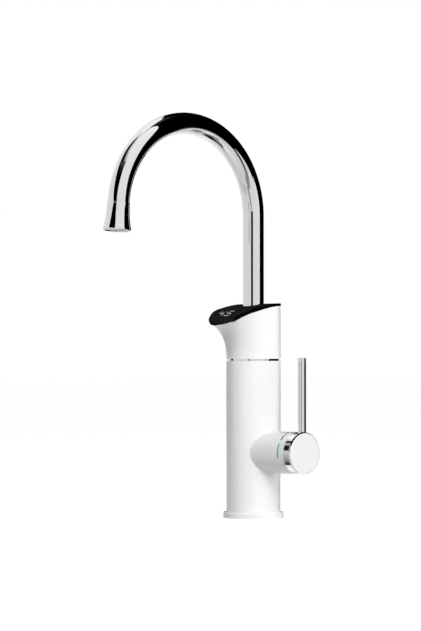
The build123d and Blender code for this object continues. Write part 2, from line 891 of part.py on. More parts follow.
def make_triac():
    back = board_back - board_t
    body = block(triac_w, triac_t, triac_body_h, y=back - triac_t / 2, z=board_z)
    body = chamfer(body.edges().group_by(Axis.Y)[0], triac_edge)
    tab_h = triac_h - triac_body_h
    tab = block(triac_w, triac_tab_t, tab_h, y=back - triac_tab_t / 2, z=board_z + triac_body_h)
    hole = Pos(0, back, board_z + triac_hole_z) * Rot(90, 0, 0) * Cylinder(m3_r, triac_t)
    return body + tab - hole


# Spout socket and the spout's lower end

def make_spout_socket():
    low = tank_top()
    neck = low + cover_t
    shoulder = neck + socket_neck_h
    body = disc(socket_spigot_r, low, neck)
    body += disc(socket_neck_r, neck, shoulder)
    body += disc(socket_r, shoulder, socket_top)
    body -= disc(socket_port_r, low - 1, socket_top)
    body -= disc(socket_bore_r, shoulder + socket_floor, socket_top + 1)
    lock = Pos(0, socket_bore_r - 1, tail_groove_z) * Rot(-90, 0, 0) * disc(lock_r + slip, 0, socket_r)
    return body - lock


def make_socket_nut():
    low = shelf_z + shelf_t
    body = hexagon(nut_hex_af, low, low + nut_h) - disc(socket_r + slip, low - 1, low + nut_h + 1)
    return body


def make_retaining_screw():
    tip = socket_bore_r - running - tail_groove_depth + shell_gap
    body = disc(lock_tip_r, tip, socket_bore_r + slip)
    body += disc(lock_r, socket_bore_r + slip, socket_r - lock_sink)
    body -= hexagon(lock_r, socket_r - lock_sink - lock_key, socket_r + past)
    return Pos(0, 0, tail_groove_z) * Rot(-90, 0, 0) * body


def tail_low():
    """The height of the spout tail's lower end, just above the socket's floor."""
    return tank_top() + cover_t + socket_neck_h + socket_floor + tail_lift


def tail_ring_heights():
    """The middle heights of the two ring grooves on the spout tail."""
    return [tail_low() + tail_ring_first + tail_ring_pitch * i for i in range(2)]


def make_spout_tail():
    body = disc(socket_bore_r - running, tail_low(), tail_top)
    body -= disc(tail_bore_r, tail_low() - 1, tail_top)
    body -= disc(tube_r + slip / 2, tail_top - tail_joint, tail_top + 1)
    for z in tail_ring_heights():
        half = ring_section * 0.65
        body -= tube(socket_bore_r + 1, socket_bore_r - running - ring_section, z - half, z + half)
    half = tail_groove_w / 2
    body -= tube(socket_bore_r + 1, socket_bore_r - running - tail_groove_depth, tail_groove_z - half,
                 tail_groove_z + half)
    return body


def make_spout_orings():
    section_r = ring_section / 2
    return [o_ring(socket_bore_r - running - section_r, section_r, z) for z in tail_ring_heights()]


def spout_end():
    """The plane at the end of the bend: its centre and the direction that the water leaves in."""
    sweep_angle = math.radians(bend_sweep)
    y = -bend_r + bend_r * math.cos(sweep_angle)
    z = bend_start + bend_r * math.sin(sweep_angle)
    heading = (0, -math.sin(sweep_angle), math.cos(sweep_angle))
    return Plane((0, y, z), x_dir=(1, 0, 0), z_dir=heading)


def make_spout_tube():
    foot = (0, 0, tail_top - tail_joint)
    top = (0, 0, bend_start)
    half = math.radians(bend_sweep / 2)
    middle = (0, -bend_r + bend_r * math.cos(half), bend_start + bend_r * math.sin(half))
    end = spout_end()
    last = end.origin + end.z_dir * nozzle_joint
    path = Wire([Line(foot, top), ThreePointArc(top, middle, end.origin), Line(end.origin, last)])
    section = Plane(foot, z_dir=(0, 0, 1)) * (Circle(tube_r) - Circle(tube_r - tube_wall))
    return sweep(section, path)


def make_nozzle():
    top = (nozzle_top_r, 0)
    end = (nozzle_end_r, nozzle_len - nozzle_lip_edge)
    sag = (nozzle_top_r + (nozzle_end_r - nozzle_top_r) * 0.28, nozzle_len * 0.55)
    lip = (nozzle_end_r - nozzle_lip_edge, nozzle_len)
    half = nozzle_lip_edge * math.sqrt(0.5)
    lip_middle = (lip[0] + half, end[1] + half)
    aerator_seat = nozzle_len - aerator_recess - aerator_len - washer_t
    profile = [
        ThreePointArc((top[0], 0, top[1]), (sag[0], 0, sag[1]), (end[0], 0, end[1])),
        ThreePointArc((end[0], 0, end[1]), (lip_middle[0], 0, lip_middle[1]), (lip[0], 0, lip[1])),
        Line((lip[0], 0, lip[1]), (aerator_r, 0, nozzle_len - aerator_recess)),
        Line((aerator_r, 0, nozzle_len - aerator_recess), (aerator_r, 0, aerator_seat)),
        Line((aerator_r, 0, aerator_seat), (nozzle_bore_r, 0, aerator_seat)),
        Line((nozzle_bore_r, 0, aerator_seat), (nozzle_bore_r, 0, nozzle_joint)),
        Line((nozzle_bore_r, 0, nozzle_joint), (tube_r + slip, 0, nozzle_joint)),
        Line((tube_r + slip, 0, nozzle_joint), (tube_r + slip, 0, 0)),
        Line((tube_r + slip, 0, 0), (top[0], 0, 0)),
    ]
    body = revolve(Face(Wire(profile)), Axis.Z, 360)
    return spout_end().location * body


def make_aerator_washer():
    low = nozzle_len - aerator_recess - aerator_len - washer_t
    return spout_end().location * tube(aerator_r - slip, washer_bore_r, low, low + washer_t)


def make_aerator_housing():
    low = nozzle_len - aerator_recess - aerator_len
    body = disc(aerator_r - slip, low, low + aerator_len)
    body -= disc(aerator_r - aerator_wall, low + aerator_wall, low + aerator_len + 1)
    body -= disc(washer_bore_r, low - 1, low + aerator_wall + 1)
    return spout_end().location * body


def make_aerator_insert():
    low = nozzle_len - aerator_recess - aerator_len + aerator_wall
    high = nozzle_len - aerator_recess - aerator_wall
    body = disc(aerator_r - aerator_wall - slip, low, high)
    hole = disc(insert_hole_r, low - 1, high + 1)
    for ring_r, count in ((2.6, 6), (5.6, 12)):
        for cut in around(count, ring_r, hole):
            body -= cut
    return spout_end().location * body


# Flared upper housing: the front leans out in a concave arc, section by section

def lerp(a, b, share):
    """The point a share of the way from a to b."""
    return tuple(p + (q - p) * share for p, q in zip(a, b))


def flare_plan(radius, reach, share):
    """Control points of the right front quarter, from a circle (share 0) to the pointed nose (share 1)."""
    turn = math.radians(15)
    short = 4 / 3 * math.tan(turn / 4) * radius
    long = 4 / 3 * math.tan((math.pi / 2 - turn) / 4) * radius
    joint = (radius * math.cos(turn), -radius * math.sin(turn))
    along = (-math.sin(turn), -math.cos(turn))
    circle = [
        (radius, 0),
        (radius, -short),
        (joint[0] - short * along[0], joint[1] - short * along[1]),
        joint,
        (joint[0] + long * along[0], joint[1] + long * along[1]),
        (long, -radius),
        (0, -radius),
    ]
    pull = flare_handle * short / long
    nose = [
        (radius, 0),
        (radius, -pull),
        (radius, -flare_straight + pull),
        (radius, -flare_straight),
        (radius, -flare_straight - flare_handle),
        (flare_nose, -radius - reach),
        (0, -radius - reach),
    ]
    return [lerp(a, b, share) for a, b in zip(circle, nose)]


def outline(radius, reach, share, height):
    """A closed outline with a round back and a drawn-out front; height gives z from y."""
    k = quarter * radius
    front = flare_plan(radius, reach, share)
    back = [(0, radius), (k, radius), (radius, k), (radius, 0)]

    def lift(points, side):
        return [(side * x, y, height(y)) for x, y in points]

    edges = []
    for side in (1, -1):
        edges.append(Bezier(*lift(back, side)))
        edges.append(Bezier(*lift(front[:4], side)))
        edges.append(Bezier(*lift(front[3:], side)))
    return Face(Wire(edges))


def flare_section(share, inset):
    """A tilted section of the flare at a share of its turn, moved in by a wall's thickness."""
    turn = math.radians(flare_turn * share)
    radius = body_r - inset
    arc = flare_r + inset
    full_reach = arc * (1 - math.cos(math.radians(flare_turn)))
    reach = arc * (1 - math.cos(turn))
    tip_y = -radius - reach
    tip_z = flare_start + arc * math.sin(turn)
    slope = math.tan(math.radians(flare_tilt * share))
    return outline(radius, full_reach, reach / full_reach, lambda y: tip_z + (y - tip_y) * slope)


def flare_solid(inset, low):
    """The flare as a solid, from a height up past the rim."""
    sections = [flare_section(i / flare_steps, inset) for i in range(flare_steps + 1)]
    body = loft(sections)
    body += Solid.extrude(sections[-1], Vector(0, 0, flare_lift))
    body += Solid.extrude(sections[0], Vector(0, 0, low - flare_start))
    return body


def rim_points(rise_back=0.0, rise_front=0.0):
    """The rim's side view, front to back, raised by amounts that change from back to front."""
    length = rim_back[0] - rim_tip[0]
    points = []
    for y, z in (rim_tip, rim_front, rim_slope, rim_bend, rim_middle, rim_back):
        share = (rim_back[0] - y) / length
        points.append((y, z + rise_back + (rise_front - rise_back) * share))
    return points


def rim_height(y):
    """The rim's height at y, between its named points."""
    points = rim_points()
    for (y0, z0), (y1, z1) in zip(points, points[1:]):
        if y <= y1:
            return z0 + (z1 - z0) * (y - y0) / (y1 - y0)
    return points[-1][1]


def under_rim(rise_back, rise_front, low):
    """All the space below the rim's curve, raised, down to a height."""
    points = rim_points(rise_back, rise_front)
    first, last = points[0], points[-1]
    ahead = (first[0] - rim_margin, first[1] - rim_margin * 0.35)
    behind = (last[0] + rim_margin, last[1])
    curve = Spline(*[(0, y, z) for y, z in points], tangents=[(0, 1, 0.35), (0, 1, 0.02)])
    edges = [
        Line((0, *ahead), (0, *first)),
        curve,
        Line((0, *last), (0, *behind)),
        Line((0, *behind), (0, behind[0], low)),
        Line((0, behind[0], low), (0, ahead[0], low)),
        Line((0, ahead[0], low), (0, *ahead)),
    ]
    face = Face(Wire(edges))
    width = body_r + rim_margin
    return Pos(-width, 0, 0) * Solid.extrude(face, Vector(2 * width, 0, 0))


def make_upper_housing():
    shell = flare_solid(0, upper_base) - flare_solid(body_wall, upper_base - 1)
    shelf = disc(shelf_r, shelf_z, shelf_z + shelf_t)
    shelf -= disc(socket_r + slip, shelf_z - past, shelf_z + shelf_t + past)
    wires = block(wire_slot_w, wire_slot_d, shelf_t + 2, y=-shelf_r + wire_slot_d / 2 - 1, z=shelf_z - 1)
    body = shell + (shelf - wires)
    return body & under_rim(0, 0, upper_base)


def plan_prism(side_r, reach, low, high):
    """An upright prism with the cap's outline in plan."""
    face = outline(side_r, reach, 1, lambda y: low)
    return Solid.extrude(face, Vector(0, 0, high - low))


def cap_reach(inset):
    """How far the front of an outline reaches past its round part, moved in by an inset."""
    return -rim_tip[0] - body_r + cap_nose - inset * 0.1


def make_display_cap():
    low = rim_tip[1] - rim_margin
    high = rim_back[1] + rim_margin
    whole = plan_prism(body_r + cap_side, cap_reach(0), low, high)
    body = whole & (under_rim(cap_back_t, cap_front_t, low) - under_rim(0, 0, low))
    skirt_r = body_r - body_wall - skirt_gap
    skirt_reach = flare_r * (1 - math.cos(math.radians(flare_turn))) - skirt_pull
    skirt = plan_prism(skirt_r, skirt_reach, low, high)
    skirt -= plan_prism(skirt_r - skirt_t, skirt_reach, low, high)
    skirt &= under_rim(skirt_root, skirt_root, low) - under_rim(-skirt_depth, -skirt_depth, low)
    skirt &= block(body_r * 3, body_r * 2, high - low, y=skirt_front_y + body_r, z=low)
    body += skirt
    body -= disc(tube_r + cap_hole_gap, low, high)
    pocket = window_form(0)
    body -= pocket & (under_rim(cap_back_t + past, cap_front_t + past, low)
                      - under_rim(cap_back_t - window_t, cap_front_t - window_t, low))
    body -= block(digits_w + 2 * digits_gap, digits_back_y - digits_front_y + 2 * digits_gap, high - low,
                  y=(digits_back_y + digits_front_y) / 2, z=low)
    for post in display_posts():
        body += post & under_rim(skirt_root, skirt_root, low)
    return body


def window_form(gap):
    """The window's upright outline: the cap's, moved in, and cut round the spout at its back."""
    low = rim_tip[1] - rim_margin
    high = rim_back[1] + rim_margin
    inset = window_inset + gap
    form = plan_prism(body_r + cap_side - inset, cap_reach(inset), low, high)
    form &= block(body_r * 3, body_r * 3, high - low, y=window_back_y - body_r * 1.5, z=low)
    return form - disc(window_back_r + gap, low, high)


def make_display_window():
    low = rim_tip[1] - rim_margin
    slab = under_rim(cap_back_t, cap_front_t, low)
    slab -= under_rim(cap_back_t - window_t, cap_front_t - window_t, low)
    return window_form(window_gap) & slab


def display_plane():
    """The tilted plane of the display board's top, below the cap and level with its slope."""
    front = (display_front_y, rim_height(display_front_y) - display_drop)
    back = (display_back_y, rim_height(display_back_y) - display_drop)
    slope = math.atan2(back[1] - front[1], back[0] - front[0])
    middle = ((front[0] + back[0]) / 2, (front[1] + back[1]) / 2)
    length = math.hypot(back[0] - front[0], back[1] - front[1])
    return Pos(0, *middle) * Rot(math.degrees(slope), 0, 0), length


def display_posts():
    """Two posts that stand on the display board and rise, square to it, into the cap."""
    place, _ = display_plane()
    posts = []
    for side in (-1, 1):
        post = disc(post_r, 0, display_drop * 2)
        post -= disc(screw_r + slip, -past, screw_len - display_pcb_t + shell_gap)
        posts.append(place * Pos(side * post_x, 0, 0) * post)
    return posts


def make_display_board():
    place, length = display_plane()
    body = block(display_w, length, display_pcb_t, z=-display_pcb_t)
    body = chamfer(body.edges().filter_by(Axis.Z).group_by(Axis.Y)[0], display_corner)
    for side in (-1, 1):
        body -= Pos(side * post_x, 0, 0) * disc(screw_r + free_fit, -display_pcb_t - 1, 1)
    return place * body


def make_digit_module():
    place, _ = display_plane()
    low = rim_tip[1] - rim_margin
    depth = digits_back_y - digits_front_y
    tall = rim_back[1] - low + rim_margin
    column = block(digits_w, depth, tall, y=(digits_back_y + digits_front_y) / 2, z=low)
    above = place * block(digits_w * 3, depth * 3, tall)
    under = window_t + seat_gap
    return column & above & under_rim(cap_back_t - under, cap_front_t - under, low)


makers = {
    "base_flange": make_base_flange,
    "base_gasket": make_base_gasket,
    "mounting_base": make_mounting_base,
    "base_screws": make_base_screws,
    "cable_gland": make_cable_gland,
    "inlet_strainer": make_inlet_strainer,
    "inlet_pipe": make_inlet_pipe,
    "terminal_block": make_terminal_block,
    "terminal_screws": make_terminal_screws,
    "earth_screw": make_earth_screw,
    "lower_housing": make_lower_housing,
    "trim_band": make_trim_band,
    "valve_body": make_valve_body,
    "disc_seal": make_disc_seal,
    "fixed_ceramic_disc": make_fixed_disc,
    "moving_ceramic_disc": make_moving_disc,
    "headpart_bush": make_headpart_bush,
    "valve_stem": make_valve_stem,
    "stem_orings": make_stem_orings,
    "stem_clip": make_stem_clip,
    "handle_guide": make_handle_guide,
    "handle_ring": make_handle_ring,
    "handle_screw": make_handle_screw,
    "handle_cap": make_handle_cap,
    "lever_rod": make_lever_rod,
    "flow_switch_body": make_switch_body,
    "flow_piston": make_flow_piston,
    "piston_magnet": make_piston_magnet,
    "return_spring": make_return_spring,
    "reed_clip": make_reed_clip,
    "reed_switch": make_reed_switch,
    "tank_shell": make_tank_shell,
    "tank_cover": make_tank_cover,
    "tank_seal": make_tank_seal,
    "tank_screws": make_tank_screws,
    "heating_element_main": lambda: make_element(element_top[0], 0),
    "heating_element_boost": lambda: make_element(element_top[1], 90),
    "heater_bushes": make_heater_bushes,
    "heater_nuts": make_heater_nuts,
    "temperature_probe": make_temperature_probe,
    "thermal_cutout": make_thermal_cutout,
    "cutout_strap": make_cutout_strap,
    "power_board": make_power_board,
    "triac": make_triac,
    "spout_socket": make_spout_socket,
    "socket_nut": make_socket_nut,
    "retaining_screw": make_retaining_screw,
    "spout_tail": make_spout_tail,
    "spout_orings": make_spout_orings,
    "spout_tube": make_spout_tube,
    "nozzle": make_nozzle,
    "aerator_washer": make_aerator_washer,
    "aerator_housing": make_aerator_housing,
    "aerator_insert": make_aerator_insert,
    "upper_housing": make_upper_housing,
    "display_cap": make_display_cap,
    "display_window": make_display_window,
    "display_board": make_display_board,
    "board_screws": make_board_screws,
    "digit_module": make_digit_module,
}


def as_one(shape):
    """One shape to write: a group of separate solids becomes a compound."""
    if isinstance(shape, list):
        solids = [solid for piece in shape for solid in piece.solids()]
        return Compound(children=solids)
    return shape


os.makedirs("parts", exist_ok=True)
for name, make in makers.items():
    export_step(as_one(make()), f"parts/{name}.step")
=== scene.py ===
"""Studio picture of an electric instant water heater tap.

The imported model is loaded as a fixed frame, in metres: the origin is the centre of the base's
underside, +Z is up, -Y is the front (spout and display) and +X is the side of the handle.
Each sub-assembly is a class: it models the outer pieces that need a finer form than the frame's
and dresses the nodes that it carries. The studio class sets the camera, the floor and the light.
"""
from __future__ import annotations

import json
import logging
import math
from dataclasses import dataclass, field
from enum import Enum
from typing import Callable, Sequence

import bpy
from mathutils import Matrix, Vector

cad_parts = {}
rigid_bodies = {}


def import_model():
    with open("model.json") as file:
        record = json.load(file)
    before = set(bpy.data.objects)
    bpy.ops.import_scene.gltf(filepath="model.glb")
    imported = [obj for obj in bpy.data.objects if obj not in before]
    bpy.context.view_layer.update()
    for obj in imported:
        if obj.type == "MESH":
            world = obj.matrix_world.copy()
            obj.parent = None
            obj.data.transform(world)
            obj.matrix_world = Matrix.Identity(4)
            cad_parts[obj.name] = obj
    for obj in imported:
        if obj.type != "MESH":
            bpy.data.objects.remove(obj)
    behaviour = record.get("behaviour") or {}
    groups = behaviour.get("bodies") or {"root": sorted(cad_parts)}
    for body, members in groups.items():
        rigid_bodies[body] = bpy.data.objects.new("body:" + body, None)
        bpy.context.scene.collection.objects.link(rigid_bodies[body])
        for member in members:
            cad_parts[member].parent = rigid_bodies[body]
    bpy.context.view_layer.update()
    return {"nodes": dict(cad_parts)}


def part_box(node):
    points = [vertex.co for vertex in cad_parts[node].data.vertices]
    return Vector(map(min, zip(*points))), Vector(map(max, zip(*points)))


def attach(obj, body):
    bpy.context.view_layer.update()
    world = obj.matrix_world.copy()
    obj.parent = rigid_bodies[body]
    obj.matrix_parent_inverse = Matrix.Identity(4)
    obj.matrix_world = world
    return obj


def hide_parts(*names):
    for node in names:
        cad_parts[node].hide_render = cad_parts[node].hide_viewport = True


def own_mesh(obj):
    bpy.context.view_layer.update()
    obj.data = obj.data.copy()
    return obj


LOG = logging.getLogger("tap")
MM = 0.001
NOISE_DETAIL = 4.0
NOISE_ROUGHNESS = 0.55
NOISE_BAND = (0.3, 0.7)

Colour = tuple[float, float, float]
Point = tuple[float, float, float]
Spot = tuple[float, float]
Row = tuple[float, float, float, float, float]


# Finishes

class Grain(Enum):
    """How a finish varies close up, as the noise that its colour, gloss and relief follow."""

    PEEL = (1.0, 1.0, 1.0)
    WIPED = (1.0, 1.0, 0.25)
    DRAWN = (1.0, 1.0, 0.04)
    TURNED = (0.08, 1.0, 1.0)
    SPARK = (1.4, 1.4, 1.4)


@dataclass(frozen=True)
class Finish:
    """A surface finish as shader nodes on Object coordinates.

    Attributes:
        name: The finish's name, which is its material's name too.
        colour: Base colour, linear.
        roughness: Mean roughness.
        grain: The direction that its variation is stretched in.
        metallic: 1 for bare metal.
        cells: Noise cells per metre.
        tint: Share by which the colour varies.
        gloss_spread: How far the roughness varies either way.
        relief: Height of the bump, in metres.
        coat: Weight of a clear coat.
        coat_roughness: Roughness of that coat.
        ior: Index of refraction.
        specular: Strength of the surface's own reflection, where 0.5 is plain plastic.
        transmission: Weight of see-through refraction.
        glow: Strength of the light it gives off.
    """

    name: str
    colour: Colour
    roughness: float
    grain: Grain
    metallic: float = 0.0
    cells: float = 900.0
    tint: float = 0.03
    gloss_spread: float = 0.02
    relief: float = 0.00001
    coat: float = 0.0
    coat_roughness: float = 0.03
    ior: float = 1.5
    specular: float = 0.5
    transmission: float = 0.0
    glow: float = 0.0

    def material(self) -> bpy.types.Material:
        """Builds the material once and returns it.

        Returns:
            The finish's material.
        """
        if self.name in bpy.data.materials:
            return bpy.data.materials[self.name]
        made = bpy.data.materials.new(self.name)
        made.use_nodes = True
        tree = made.node_tree
        shader = tree.nodes["Principled BSDF"]
        self._set_sockets(shader)
        noise = self._noise(tree)
        self._vary_colour(tree, noise, shader)
        self._vary_gloss(tree, noise, shader)
        self._vary_height(tree, noise, shader)
        made.diffuse_color = (*self.colour, 1.0)
        return made

    def dress(self, piece: bpy.types.Object) -> None:
        """Gives a piece this finish and no other.

        Args:
            piece: The mesh object to dress.
        """
        piece.data.materials.clear()
        piece.data.materials.append(self.material())

    def _set_sockets(self, shader: bpy.types.Node) -> None:
        """Sets what is the same all over on the shader's own sockets."""
        shader.inputs["Metallic"].default_value = self.metallic
        shader.inputs["IOR"].default_value = self.ior
        shader.inputs["Specular IOR Level"].default_value = self.specular
        shader.inputs["Coat Weight"].default_value = self.coat
        shader.inputs["Coat Roughness"].default_value = self.coat_roughness
        shader.inputs["Transmission Weight"].default_value = self.transmission
        shader.inputs["Emission Color"].default_value = (*self.colour, 1.0)
        shader.inputs["Emission Strength"].default_value = self.glow

    def _noise(self, tree: bpy.types.NodeTree) -> bpy.types.Node:
        """Adds the noise that the finish varies by, stretched along the grain."""
        place = tree.nodes.new("ShaderNodeTexCoord")
        stretch = tree.nodes.new("ShaderNodeMapping")
        stretch.inputs["Scale"].default_value = self.grain.value
        noise = tree.nodes.new("ShaderNodeTexNoise")
        noise.inputs["Scale"].default_value = self.cells
        noise.inputs["Detail"].default_value = NOISE_DETAIL
        noise.inputs["Roughness"].default_value = NOISE_ROUGHNESS
        tree.links.new(place.outputs["Object"], stretch.inputs["Vector"])
        tree.links.new(stretch.outputs["Vector"], noise.inputs["Vector"])
        return noise

    def _vary_colour(self, tree: bpy.types.NodeTree, noise: bpy.types.Node, shader: bpy.types.Node) -> None:
        """Lets the colour drift a little with the noise."""
        ramp = tree.nodes.new("ShaderNodeValToRGB")
        dark = tuple(c * (1 - self.tint) for c in self.colour)
        light = tuple(min(1.0, c * (1 + self.tint)) for c in self.colour)
        ramp.color_ramp.elements[0].position = NOISE_BAND[0]
        ramp.color_ramp.elements[0].color = (*dark, 1.0)
        ramp.color_ramp.elements[1].position = NOISE_BAND[1]
        ramp.color_ramp.elements[1].color = (*light, 1.0)
        tree.links.new(noise.outputs["Fac"], ramp.inputs["Fac"])
        tree.links.new(ramp.outputs["Color"], shader.inputs["Base Color"])

    def _vary_gloss(self, tree: bpy.types.NodeTree, noise: bpy.types.Node, shader: bpy.types.Node) -> None:
        """Lets the roughness drift with the noise."""
        spread = tree.nodes.new("ShaderNodeMapRange")
        spread.inputs["From Min"].default_value = NOISE_BAND[0]
        spread.inputs["From Max"].default_value = NOISE_BAND[1]
        spread.inputs["To Min"].default_value = max(0.0, self.roughness - self.gloss_spread)
        spread.inputs["To Max"].default_value = self.roughness + self.gloss_spread
        tree.links.new(noise.outputs["Fac"], spread.inputs["Value"])
        tree.links.new(spread.outputs["Result"], shader.inputs["Roughness"])

    def _vary_height(self, tree: bpy.types.NodeTree, noise: bpy.types.Node, shader: bpy.types.Node) -> None:
        """Adds the finish's fine relief."""
        bump = tree.nodes.new("ShaderNodeBump")
        bump.inputs["Strength"].default_value = 1.0
        bump.inputs["Distance"].default_value = self.relief
        tree.links.new(noise.outputs["Fac"], bump.inputs["Height"])
        tree.links.new(bump.outputs["Normal"], shader.inputs["Normal"])


WHITE_SHELL = Finish("gloss_white_moulding", (0.86, 0.86, 0.865), 0.16, Grain.PEEL, cells=420.0, tint=0.008,
                     gloss_spread=0.03, relief=0.0000015, coat=0.35, coat_roughness=0.05)
BLACK_SHELL = Finish("piano_black_moulding", (0.002, 0.002, 0.0022), 0.12, Grain.PEEL, cells=500.0, tint=0.2,
                     gloss_spread=0.03, relief=0.000001, specular=0.0)
# Smoked grey with no gloss of its own: the window's dark tint plus a painted reflection, which the cap's
# level faces share.
SMOKED_LENS_AND_PAINTED_SHEEN = Finish("smoked_lens_and_painted_sheen", (0.014, 0.014, 0.0145), 0.2, Grain.SPARK, cells=1500.0, tint=0.25,
                     gloss_spread=0.05, relief=0.000002, specular=0.0)
CHROME = Finish("polished_chrome", (0.95, 0.95, 0.955), 0.03, Grain.WIPED, metallic=1.0, cells=160.0,
                tint=0.006, gloss_spread=0.012, relief=0.0)
BRASS = Finish("machined_brass", (0.62, 0.43, 0.18), 0.28, Grain.TURNED, metallic=1.0, cells=2200.0, tint=0.1,
               gloss_spread=0.08, relief=0.000006)
STAINLESS = Finish("drawn_stainless_steel", (0.56, 0.56, 0.57), 0.3, Grain.DRAWN, metallic=1.0, cells=2600.0,
                   tint=0.08, gloss_spread=0.08, relief=0.000004)
RUBBER = Finish("black_rubber", (0.02, 0.02, 0.021), 0.6, Grain.SPARK, cells=1600.0, tint=0.2,
                gloss_spread=0.1, relief=0.00002)
CERAMIC = Finish("lapped_ceramic", (0.82, 0.79, 0.73), 0.14, Grain.PEEL, cells=1200.0, tint=0.03,
                 gloss_spread=0.03, relief=0.000002)
BLACK_NYLON = Finish("black_nylon", (0.022, 0.022, 0.023), 0.48, Grain.SPARK, cells=1800.0, tint=0.15,
                     gloss_spread=0.08, relief=0.00001)
WHITE_ACETAL = Finish("natural_acetal", (0.72, 0.71, 0.67), 0.42, Grain.SPARK, cells=1500.0, tint=0.03,
                      gloss_spread=0.06, relief=0.000008)
BOARD_GREEN = Finish("green_solder_mask", (0.012, 0.11, 0.035), 0.3, Grain.SPARK, cells=900.0, tint=0.25,
                     gloss_spread=0.08, relief=0.000012, coat=0.3)
REED_GLASS = Finish("reed_capsule_glass", (0.62, 0.78, 0.7), 0.05, Grain.PEEL, cells=700.0, tint=0.03,
                    gloss_spread=0.02, relief=0.000001, transmission=0.8)
MAGNET = Finish("sintered_magnet", (0.07, 0.07, 0.075), 0.5, Grain.SPARK, metallic=0.7, cells=2400.0,
                tint=0.2, gloss_spread=0.1, relief=0.000015)
DIGIT_BLOCK = Finish("digit_block_resin", (0.3, 0.3, 0.3), 0.45, Grain.SPARK, cells=1500.0, tint=0.1,
                     gloss_spread=0.08, relief=0.000006)
DIGIT_LIGHT = Finish("lit_digit", (0.42, 0.42, 0.43), 0.35, Grain.SPARK, cells=2600.0, tint=0.12,
                     gloss_spread=0.05, relief=0.000001, specular=0.0, glow=0.9)
HOT_INK = Finish("hot_mark_ink", (0.26, 0.05, 0.026), 0.3, Grain.SPARK, cells=2400.0, tint=0.08,
                 gloss_spread=0.05, relief=0.000003)
COLD_INK = Finish("cold_mark_ink", (0.1, 0.42, 0.46), 0.3, Grain.SPARK, cells=2400.0, tint=0.08,
                  gloss_spread=0.05, relief=0.000003)


# Modelling tools

def arc_points(start: Spot, middle: Spot, end: Spot, steps: int) -> list[Spot]:
    """Points on the arc through three points, without the first one.

    Args:
        start: Where the arc starts.
        middle: A point that it passes through.
        end: Where it ends.
        steps: How many points to make.

    Returns:
        The points, the last of them at the arc's end.
    """
    (ax, ay), (bx, by), (cx, cy) = start, middle, end
    turn = 2 * (ax * (by - cy) + bx * (cy - ay) + cx * (ay - by))
    a, b, c = ax * ax + ay * ay, bx * bx + by * by, cx * cx + cy * cy
    x = (a * (by - cy) + b * (cy - ay) + c * (ay - by)) / turn
    y = (a * (cx - bx) + b * (ax - cx) + c * (bx - ax)) / turn
    first = math.atan2(ay - y, ax - x)
    sweep = (math.atan2(cy - y, cx - x) - first + math.pi) % (2 * math.pi) - math.pi
    radius = math.hypot(ax - x, ay - y)
    angles = [first + sweep * k / steps for k in range(1, steps + 1)]
    return [(x + radius * math.cos(t), y + radius * math.sin(t)) for t in angles]


